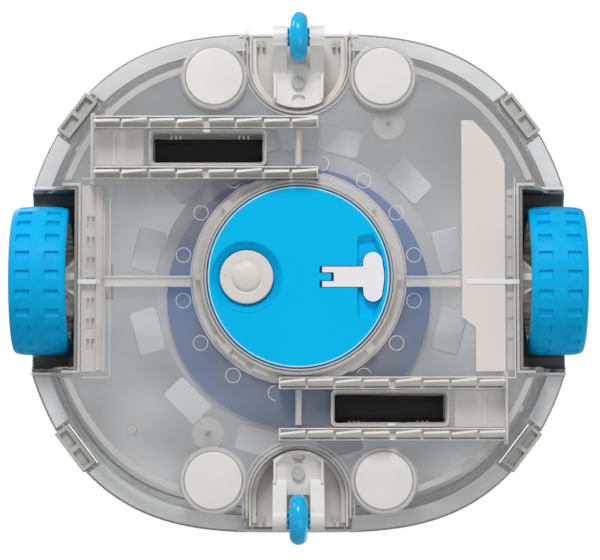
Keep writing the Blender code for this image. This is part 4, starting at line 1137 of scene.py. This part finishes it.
def pocket_trim(end, turn):
    """The pocket's stepped lip and the clip features beside its mouth."""
    lips = []
    for near, far, low in ((0.0005, 0.0017, 0.0264), (0.0034, 0.0042, 0.0270)):
        lip = prism("lip", pocket_outline(POCKET_RADIUS + far, 0.1660), low, 0.0282)
        lips.append(cut(lip, prism("inside", pocket_outline(POCKET_RADIUS + near, 0.1780), 0.0, 0.06)))
    lip = place(turn, merged("pocket_lip_" + end, lips))
    show(lip, "clear_warm", "chassis", bevel=0.0003)
    wall_outer = pocket_outline(POCKET_RADIUS - 0.0004, 0.1715)
    wall_inner = pocket_outline(POCKET_RADIUS - 0.0018, 0.1800)
    lining = prism("pocket_lining_" + end, wall_outer, 0.0344, POCKET_TOP - 0.0002)
    cut(lining, prism("inside", wall_inner, 0.0, 0.06))
    place(turn, lining)
    show(lining, "warm_white", "chassis", bevel=0.0003)
    shelf_in = pocket_outline(POCKET_RADIUS - 0.0052, 0.1800)
    shelf = prism("pocket_step_" + end, pocket_outline(POCKET_RADIUS - 0.0020, 0.1690), 0.0420, 0.0440)
    cut(shelf, prism("inside", shelf_in, 0.0, 0.06))
    place(turn, shelf)
    # The rear shelf is drawn a darker grey than the front one: painted shade in the rear pocket.
    show(shelf, "warm_white" if end == "front" else "grey", "chassis", bevel=0.0004)
    roof = prism("pocket_roof_" + end, pocket_outline(POCKET_RADIUS - 0.0022, 0.1715), 0.0488, 0.0496)
    cut(roof, rod("screw_way", 0.0086, (0, PIVOT_Y, 0.03), (0, PIVOT_Y, 0.06)))
    place(turn, roof)
    show(roof, "grey", "chassis", bevel=0)
    combs = []
    for sign in (1, -1):
        for i in range(3):
            x = sign * (0.0235 + 0.0042 * i)
            combs.append(box("comb", (min(x, x + sign * 0.0022), 0.1640, 0.0440),
                             (max(x, x + sign * 0.0022), 0.1690, 0.0486)))
    comb = place(turn, merged("pocket_comb_" + end, combs))
    show(comb, "clip", "chassis", bevel=0.0002)
    # The bright sill and its ribs are drawn in the painted-highlight material.
    sill = box("pocket_sill_" + end, (-0.0420, 0.1733, 0.0532), (0.0420, 0.1747, 0.0592))
    ribs = [box("rib", (x, 0.1680, 0.0536), (x + 0.0016, 0.1741, 0.0590))
            for x in (-0.0385, -0.0330, 0.0314, 0.0369)]
    join(sill, *ribs)
    place(turn, sill)
    show(sill, "edge", "chassis", bevel=0.0003)


def guides():
    for end, turn in ENDS.items():
        guide_bracket(end, turn)
        roller(end, turn)
        pocket_trim(end, turn)
        dress("roller_pin_" + end, "steel", bevel=0)
        dress("pivot_screw_" + end, "clip", bevel=0.0001)


# Small pieces round the tray.

def ballast_caps():
    for number, (side_x, side_y) in enumerate(CORNERS, 1):
        cap = turned("cap_disc_%d" % number, [(0.0, 0.0340), (CAP_RADIUS, 0.0340), (CAP_RADIUS, 0.0232),
                                              (CAP_RADIUS - 0.0005, 0.0224), (CAP_RADIUS - 0.0012, 0.0220),
                                              (0.0, 0.02195)], sides=128)
        place(Matrix.Translation((side_x * CAP_X, side_y * CAP_Y, 0.0)), cap)
        show(cap, "white", "chassis", "ballast_cap_%d" % number, bevel=0)


def side_clips():
    for number, corner in enumerate(CORNERS, 1):
        clip = side_view("clip", [(-0.0050, 0.0520), (0.0058, 0.0520), (0.0062, 0.0560), (0.0056, 0.0700),
                                  (0.0040, 0.0725), (-0.0030, 0.0725),
                                  (-0.0050, 0.0700)], -CLIP_HALF, CLIP_HALF)
        reach = CLIP_HALF + 0.0025
        trunnion = rod("trunnion", 0.0011, (-reach, -0.0025, 0.0545), (reach, -0.0025, 0.0545), sides=20)
        pockets = [box("pocket", (x, -0.0024, 0.050), (x + 0.0124, 0.0038, 0.0556))
                   for x in (-0.0141, 0.0017)]
        join(clip, trunnion)
        cut(clip, *pockets)
        place(clip_frame(*corner), clip)
        clip.name = "latch_%d" % number
        show(clip, "clip", "side_clip_%d" % number, "side_clip_%d" % number, bevel=0.0005,
             segments=3)


# Pod's inside.

def pod_inside():
    dress("pod_housing", "blue", bevel=0.0006)
    dress("battery_pack", "wrap", bevel=0)
    dress("control_board", "board", bevel=0.0001)
    dress("pump_motor", "steel", bevel=0.0006)
    dress("pump_shaft", "steel", bevel=0.0003)
    impeller()


def impeller():
    """Hub with a rounded nose and five twisted, tapering blades."""
    hub_piece = turned("impeller_hub", [(0.0033, 0.1120), (0.0080, 0.1120), (0.0080, 0.1225),
                                        (0.0070, 0.1252), (0.0050, 0.1260), (0.0033, 0.1260)], sides=48)
    blades = []
    for i in range(5):
        rings = []
        for k in range(7):
            t = k / 6
            r = 0.0068 + 0.0237 * t
            pitch = math.radians(48 - 24 * t)
            chord = 0.0062 + 0.0016 * math.sin(math.pi * t)
            ring = []
            for u, v in ((-1, -0.4), (-0.4, -1), (0.6, -0.7), (1, 0), (0.6, 0.7), (-0.4, 1)):
                along, thick = u * chord, v * 0.0007
                ring.append((r, along * math.cos(pitch) - thick * math.sin(pitch),
                             IMPELLER_Z + along * math.sin(pitch) + thick * math.cos(pitch)))
            rings.append(ring)
        blades.append(place(Matrix.Rotation(math.radians(72 * i), 4, "Z"), loft("blade", rings)))
    join(hub_piece, *blades)
    show(hub_piece, "blue", "pump_rotor", "impeller", bevel=0.0002)


# Filter, cover, outlet and handle.

def filter_unit():
    """The lobed frame with its screen on the blue seat plate. Both sit off centre, toward the rear."""
    hole, waist, tip, shift, seat_shift = 0.0860, 0.1000, 0.1198, 0.0056, 0.0110
    band = [(waist, 0.0692), (waist, 0.0664), (waist - 0.0006, 0.0660), (hole + 0.0006, 0.0660),
            (hole, 0.0664), (hole, 0.0692)]
    plate = turned("filter_plate", band, sides=144)
    place(Matrix.Translation((0, shift, 0)), plate)
    show(plate, "frame_shade", "cover", "filter_frame", bevel=0)
    tabs = []
    for i in range(12):
        tab = prism("tab", rounded_rectangle((waist + 0.0002, -0.0154), (tip, 0.0154), 0.0030), 0.0656,
                    0.0692)
        tabs.append(place(Matrix.Rotation(math.radians(30 * i + 15), 4, "Z"), tab))
    lobes = place(Matrix.Translation((0, shift, 0)), merged("filter_lobes", tabs))
    show(lobes, "frame_white", "cover", bevel=0.0012, segments=3)
    seat = rod("seat_plate", 0.0923, (0, seat_shift, 0.0610), (0, seat_shift, 0.0655), sides=144)
    cut(seat, rod("seat_hole", 0.0725, (0, 0, 0.05), (0, 0, 0.08), sides=128))
    show(seat, "seat_blue", "cover", "filter_seat_ring", bevel=0.0005)
    screen = turned("screen_disc", [(0.0985, 0.0707), (0.0985, 0.0695), (0.0700, 0.0695), (0.0700, 0.0707)],
                    sides=128)
    place(Matrix.Translation((0, shift, 0)), screen)
    show(screen, "mesh", "cover", "filter_screen", bevel=0)


def mould_marks():
    """Sixteen faint ejector rings on the tray's floor round the pod, drawn bright in the painted-highlight
    material.
    """
    rings = []
    for i in range(16):
        spot = Matrix.Rotation(2 * math.pi * (i + 0.5) / 16, 4, "Z") @ Matrix.Translation((MARK_RADIUS, 0, 0))
        profile = [(0.0048, 0.0279), (0.0048, 0.0277), (0.0052, 0.0277), (0.0052, 0.0279)]
        rings.append(place(spot, turned("mark", profile, sides=32)))
    marks = merged("mould_marks", rings)
    clear_of = []
    for turn in INLETS.values():
        clear_of.append(place(turn, box("inlet_side", (-0.16, -0.12, 0.02), (0.0160, -0.0660, 0.03))))
    cut(marks, *clear_of)
    show(marks, "edge", "chassis", bevel=0)


# The top cover's rows are its outside, the bulges over the wheels and its lining, as (inset, height).

COVER_SKIN = [(0.0002, 0.0603), (0.0000, 0.0615), (0.0001, 0.0640), (0.0012, 0.0650), (0.0085, 0.0666),
              (0.0108, 0.0682), (0.0118, 0.0720), (0.0155, 0.1010), (0.0195, 0.1150), (0.0270, 0.1280),
              (0.0370, 0.1386), (0.0500, 0.1470), (0.0660, 0.1530), (0.0860, 0.1572), (0.1060, 0.1592),
              (0.1250, COVER_TOP)]
FENDER = [(0.0, 0.0603), (0.0, 0.0660), (0.0004, 0.0780), (0.0012, 0.0900), (0.0019, 0.0990),
          (0.0030, 0.1080), (0.0060, 0.1230)]
COVER_LINING = [(0.1250, 0.1572), (0.1060, 0.1564), (0.0872, 0.1542), (0.0680, 0.1502), (0.0522, 0.1445),
                (0.0395, 0.1362), (0.0298, 0.1262), (0.0226, 0.1135), (0.0185, 0.1005), (0.0150, 0.0720),
                (0.0135, 0.0640), (0.0125, 0.0603)]


def fender(turn):
    """The bulge of the cover over a wheel, before the wheel well is cut out of it."""
    bulge = body_loft("fender", FENDER)
    reach = side_view("reach", well_outline(FENDER_WALL, 0.05), 0.1600, 0.21)
    boolean(bulge, "INTERSECT", [reach])
    return place(turn, bulge)


def top_cover():
    cover = body_loft("cover_shell", COVER_SKIN[::-1] + COVER_LINING[::-1])
    posts = [fender(turn) for turn in SIDES.values()]
    for side_x, side_y in CORNERS:
        x, y = side_x * POST_X, side_y * POST_Y
        posts.append(rod("filter_post", 0.0040, (x, y, 0.0696), (x, y, 0.1550)))
    for turn in SIDES.values():
        lug_outline = [(-0.0058, 0.1560), (0.0058, 0.1560)] + arc(0, BAIL_Z, 0.0055, 0, 180, 12)
        lug = side_view("lug", lug_outline, 0.0656, 0.0706)
        posts.append(place(turn, lug))
    join(cover, *posts)
    cuts = [rod("neck_hole", NECK_RADIUS + 0.0028, (0, 0, 0.150), (0, 0, 0.170), sides=96)]
    for turn in SIDES.values():
        cuts.append(place(turn, side_view("well", well_outline(0.0003), ARCH_X - 0.0003, 0.21)))
        cuts.append(place(turn, rod("bail_bore", 0.0022, (0.060, 0, BAIL_Z), (0.080, 0, BAIL_Z))))
    for corner in CORNERS:
        notch = box("clip_notch", (-CLIP_HALF - 0.0006, -0.0062, 0.050), (CLIP_HALF + 0.0006, 0.0200, 0.0800))
        cuts.append(place(clip_frame(*corner), notch))
    cuts.append(deck_groove())
    cut(cover, *cuts)
    show(cover, "cover", "cover", "top_cover", bevel=0.0007, segments=2)


def deck_groove():
    """A shallow groove round the top deck."""
    ring = [[(x, y, z) for x, y in body_outline(inset)]
            for inset, z in ((0.0990, 0.1575), (0.1010, 0.1575), (0.1010, 0.1620), (0.0990, 0.1620))]
    return loft("deck_groove", ring, closed=True)


def cover_trim():
    """Vent slats in front of the outlet and behind it."""
    for end, turn in ENDS.items():
        slats = []
        for i in range(9):
            x = -0.040 + 0.010 * i
            slats.append(box("slat", (x - 0.0032, 0.0735, 0.1555), (x + 0.0032, 0.0785, 0.1597)))
        vent = place(turn, merged("vent_slats_" + end, slats))
        show(vent, "dark", "cover", bevel=0.0004)


def water_outlet():
    """The domed jet outlet and the neck under it, with a grille across each mouth."""
    bore, base = NECK_RADIUS, 0.1603
    outside = [(0.0, 0.1900), (0.0160, 0.1898), (0.0300, 0.1885), (0.0370, 0.1866), (0.0420, 0.1840),
               (0.0458, 0.1802), (0.0480, 0.1760), (0.0492, 0.1715), (0.0497, 0.1665), (TOWER_RADIUS, base)]
    neck = [(bore + 0.0025, base), (bore + 0.0025, 0.1080), (bore, 0.1080), (bore, 0.1630)]
    inside = [(0.0470, 0.1630), (0.0466, 0.1680), (0.0453, 0.1745), (0.0400, 0.1815), (0.0290, 0.1857),
              (0.0, 0.1870)]
    tower = turned("outlet_tower", outside + neck + inside, sides=128)
    mouths = [place(turn, box("mouth", (-0.0280, 0.0250, 0.1680), (0.0280, 0.0600, 0.1800)))
              for turn in ENDS.values()]
    cut(tower, *mouths, rod("bore", 0.0016, (-0.06, 0, DIVERTER_Z), (0.06, 0, DIVERTER_Z), sides=20))
    show(tower, "blue", "cover", ("water_outlet", "outlet_neck"), bevel=0.0006, segments=2)
    for end, turn in ENDS.items():
        bars = []
        for i in range(5):
            x = -0.0196 + 0.0098 * i
            y = math.sqrt(0.0472 ** 2 - x ** 2)
            bars.append(box("bar", (x - 0.0008, y - 0.0030, 0.1672), (x + 0.0008, y - 0.0008, 0.1806)))
        grille = place(turn, merged("outlet_grille_" + end, bars))
        show(grille, "blue", "cover", bevel=0.0002)
    badge = turned("outlet_badge", [(0.0, 0.1906), (0.0105, 0.1905), (0.0112, 0.1900), (0.0112, 0.1892),
                                    (0.0, 0.1892)],
                   sides=64)
    show(badge, "grey", "cover", bevel=0)


def diverter():
    rings = []
    for i in range(9):
        t = i / 8
        z = 0.1650 + 0.0185 * t
        half = 0.0010 - 0.0005 * (1 - t)
        rings.append([(-0.0260, -half, z), (0.0260, -half, z), (0.0260, half, z), (-0.0260, half, z)])
    leaf = loft("diverter_leaf", rings)
    knuckle = rod("knuckle", 0.0017, (-0.0258, 0, DIVERTER_Z), (0.0258, 0, DIVERTER_Z), sides=24)
    pin = rod("pin", 0.0012, (-0.0400, 0, DIVERTER_Z), (0.0400, 0, DIVERTER_Z), sides=20)
    join(leaf, knuckle, pin)
    show(leaf, "white", "diverter", "diverter_flap", bevel=0.0003)


def carry_handle():
    """A rounded bail round the outlet, with flat ears on its pins and a grip swelling at its middle."""
    rings = []
    count = 56
    for i in range(count + 1):
        angle = math.pi * i / count
        swell = math.sin(angle) ** 6
        centre = BAIL_RADIUS + 0.00525
        half_wide, half_high = 0.0050 + 0.0002 * swell, 0.0029 + 0.0001 * swell
        ring = []
        for a in angles(20):
            ca, sa = math.cos(a), math.sin(a)
            across = math.copysign(abs(ca) ** 0.6, ca) * half_wide
            up = math.copysign(abs(sa) ** 0.6, sa) * half_high
            r = centre + across
            ring.append((r * math.cos(angle), r * math.sin(angle), BAIL_Z + up))
        rings.append(ring)
    bail = loft("bail", rings)
    tools = []
    for turn in SIDES.values():
        ear = box("ear", (BAIL_RADIUS, -0.0034, BAIL_Z - 0.0029),
                  (BAIL_RADIUS + 0.0105, 0.0010, BAIL_Z + 0.0029))
        if turn is SIDES["left"]:
            ear.data.transform(Matrix.Scale(-1, 4, (1, 0, 0)))
            ear.data.flip_normals()
        pin = place(turn, rod("pin", 0.0018, (BAIL_RADIUS + 0.003, 0, BAIL_Z), (0.0700, 0, BAIL_Z), sides=20))
        tools += [ear, pin]
    join(bail, *tools)
    show(bail, "grey", "carry_handle", "carry_handle", bevel=0.0003)


def lifted_pieces():
    filter_unit()
    top_cover()
    cover_trim()
    water_outlet()
    diverter()
    carry_handle()


# Stage, camera and lights.

def floor():
    """A pale floor that is seen from above and lets everything through from below."""
    bm = bmesh.new()
    bm.faces.new([bm.verts.new((x, y, 0)) for x, y in ((-4, -4), (4, -4), (4, 4), (-4, 4))])
    plane = object_of("floor", bm)
    look = Look("floor")
    look.shader.inputs["Roughness"].default_value = 0.9
    look.join(look.mixed(look.noise(6.0), (0.80, 0.80, 0.80), (0.84, 0.84, 0.84)),
              look.shader.inputs["Base Color"])
    path = look.node("LightPath")
    side = look.node("NewGeometry")
    seen = look.node("Math")
    seen.operation = "SUBTRACT"
    seen.use_clamp = True
    look.join(path.outputs["Is Camera Ray"], seen.inputs[0])
    look.join(side.outputs["Backfacing"], seen.inputs[1])
    mix = look.node("MixShader")
    look.join(seen.outputs["Value"], mix.inputs["Fac"])
    look.join(look.node("BsdfTransparent").outputs["BSDF"], mix.inputs[1])
    look.join(look.shader.outputs["BSDF"], mix.inputs[2])
    look.join(mix.outputs["Shader"], look.output.inputs["Surface"])
    plane.data.materials.append(look.material)


def world():
    made = bpy.data.worlds.new("studio")
    bpy.context.scene.world = made
    made.use_nodes = True
    tree = made.node_tree
    soft = tree.nodes["Background"]
    soft.inputs["Color"].default_value = (0.99, 0.985, 0.975, 1.0)
    soft.inputs["Strength"].default_value = 0.42
    white = tree.nodes.new("ShaderNodeBackground")
    white.inputs["Color"].default_value = (1.0, 1.0, 1.0, 1.0)
    white.inputs["Strength"].default_value = 1.0
    path = tree.nodes.new("ShaderNodeLightPath")
    mix = tree.nodes.new("ShaderNodeMixShader")
    tree.links.new(path.outputs["Is Camera Ray"], mix.inputs["Fac"])
    tree.links.new(soft.outputs["Background"], mix.inputs[1])
    tree.links.new(white.outputs["Background"], mix.inputs[2])
    tree.links.new(mix.outputs["Shader"], tree.nodes["World Output"].inputs["Surface"])


def lamp(name, spot, target, size, power, camera_sees=True):
    """A round soft light at spot, aimed at target."""
    data = bpy.data.lights.new(name, "AREA")
    data.shape = "DISK"
    data.size = size
    data.energy = power
    obj = bpy.data.objects.new(name, data)
    bpy.context.scene.collection.objects.link(obj)
    obj.location = spot
    obj.rotation_mode = "QUATERNION"
    obj.rotation_quaternion = (Vector(target) - Vector(spot)).to_track_quat("-Z", "Y")
    obj.visible_camera = camera_sees


def lights():
    lamp("key_below", (-0.2, -1.6, -1.5), (0, 0, 0.05), 0.7, 27.0)
    lamp("fill_below", (0.9, 0.9, -1.7), (0, 0, 0.05), 1.6, 8.0)
    lamp("side_card", (-1.15, -1.15, -0.06), (0, 0, 0.02), 0.6, 5.0)
    lamp("inner", (0, 0, 0.0760), (0, 0, 0.20), 0.30, 0.064, camera_sees=False)
    lamp("top", (-0.8, -1.0, 1.9), (0, 0, 0.1), 1.2, 21.0)
    lamp("top_fill", (1.4, 0.6, 1.4), (0, 0, 0.1), 1.6, 10.0)


def camera():
    """A long lens below the cleaner, tilted a little toward its front."""
    tilt, distance = math.radians(5.25), 2.13
    target = Vector((0.0010, -0.0007, WHEEL_RADIUS))
    data = bpy.data.cameras.new("camera")
    data.lens = 182.5
    data.clip_start, data.clip_end = 0.05, 30.0
    obj = bpy.data.objects.new("camera", data)
    bpy.context.scene.collection.objects.link(obj)
    obj.location = target + distance * Vector((0.0, math.sin(tilt), -math.cos(tilt)))
    ahead = Vector((0.0, -math.sin(tilt), math.cos(tilt)))
    upward = Vector((0.0, -math.cos(tilt), -math.sin(tilt)))
    turn = Matrix((ahead.cross(upward), upward, -ahead)).transposed().to_4x4()
    obj.matrix_world = Matrix.Translation(obj.location) @ turn
    bpy.context.scene.camera = obj


def main():
    bottom_tray()
    rim_bands()
    boss_rims()
    radial_ribs()
    mould_marks()
    screw_bosses()
    inlet_frames()
    inlets()
    pod_cover()
    pod_edge()
    pull_handle()
    charging_port()
    wheels()
    guides()
    ballast_caps()
    side_clips()
    pod_inside()
    lifted_pieces()
    bpy.context.scene.view_settings.view_transform = "Standard"
    world()
    lights()
    floor()
    camera()


main()
